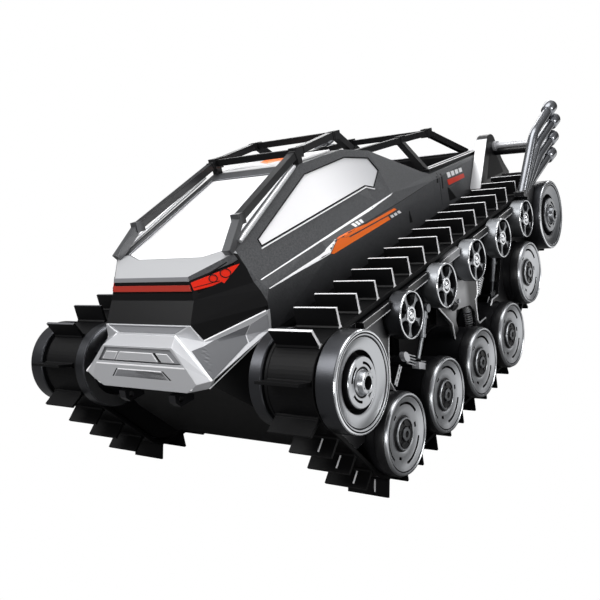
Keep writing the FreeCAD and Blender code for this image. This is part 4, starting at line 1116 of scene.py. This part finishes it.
def white_to_camera(nt, other, white, output):
    """Camera rays see white, all other rays see the other shader."""
    mix = add(nt, "MixShader")
    nt.links.new(add(nt, "LightPath").outputs["Is Camera Ray"], mix.inputs["Fac"])
    nt.links.new(other.outputs[0], mix.inputs[1])
    nt.links.new(white.outputs[0], mix.inputs[2])
    nt.links.new(mix.outputs[0], nt.nodes[output].inputs["Surface"])


bpy.ops.mesh.primitive_plane_add(size=30, location=(0, 0, 0))
floor = bpy.context.object
floor.name = "floor"
floor_mat = bpy.data.materials.new("floor")
floor_mat.use_nodes = True
nt = floor_mat.node_tree
matt = put(nt.nodes["Principled BSDF"], {
    "Base Color": (0.14, 0.14, 0.14, 1), "Roughness": 0.9, "Specular IOR Level": 0})
white_to_camera(nt, matt, emission(nt, 1), "Material Output")
floor.data.materials.append(floor_mat)

# studio: white to the camera, soft top light and a dim horizon to everything else
world = bpy.data.worlds.new("studio")
bpy.context.scene.world = world
world.use_nodes = True
nt = world.node_tree
sky = nt.nodes["Background"]
height = add(nt, "SeparateXYZ")
nt.links.new(add(nt, "TexCoord").outputs["Generated"], height.inputs["Vector"])
from_zero = add(nt, "MapRange", {"From Min": -1, "From Max": 1})
nt.links.new(height.outputs["Z"], from_zero.inputs["Value"])
shades = add(nt, "ValToRGB")
nt.links.new(from_zero.outputs["Result"], shades.inputs["Fac"])
stops = shades.color_ramp.elements
stops[0].position, stops[0].color = 0.50, (0.10, 0.10, 0.10, 1)
stops[1].position, stops[1].color = 1, (0.62, 0.62, 0.63, 1)
stops.new(0.68).color = (0.22, 0.22, 0.225, 1)
nt.links.new(shades.outputs["Color"], sky.inputs["Color"])
white_to_camera(nt, sky, add(nt, "Background", {"Color": (1, 1, 1, 1)}), "World Output")


def area(name, loc, target, size, power):
    d = bpy.data.lights.new(name, "AREA")
    d.shape = "RECTANGLE"
    d.size, d.size_y = size
    d.energy = power
    o = bpy.data.objects.new(name, d)
    LINK(o)
    o.location = loc
    o.rotation_euler = (Vector(target) - Vector(loc)).to_track_quat("-Z", "Y").to_euler()


area("key", (-0.9, -1.3, 1.9), (0, 0, 0.1), (1.2, 1.2), 46)
area("top", (0, 0.3, 2.2), (0, 0, 0.1), (1.6, 1.6), 30)
area("side", (2.2, 0.2, 1), (0.05, 0, 0.08), (1.4, 0.6), 30)
area("front", (0.5, -2.2, 0.5), (0, -0.1, 0.1), (0.9, 0.5), 14)
area("back_strip", (-0.6, 1.9, 1), (0, 0, 0.15), (2, 0.6), 16)

# reflector on the floor that only gloss sees
bpy.ops.mesh.primitive_plane_add(size=1, location=(0.62, 0.42, 0.004))
card = bpy.context.object
card.name = "floor_card"
card.scale = (0.9, 1.5, 1)
card_mat = bpy.data.materials.new("floor_card")
card_mat.use_nodes = True
nt = card_mat.node_tree
nt.links.new(emission(nt, 1.25).outputs[0], nt.nodes["Material Output"].inputs["Surface"])
card.data.materials.append(card_mat)
card.visible_camera = card.visible_diffuse = card.visible_shadow = card.visible_transmission = False

bpy.context.scene.view_settings.view_transform = "Standard"
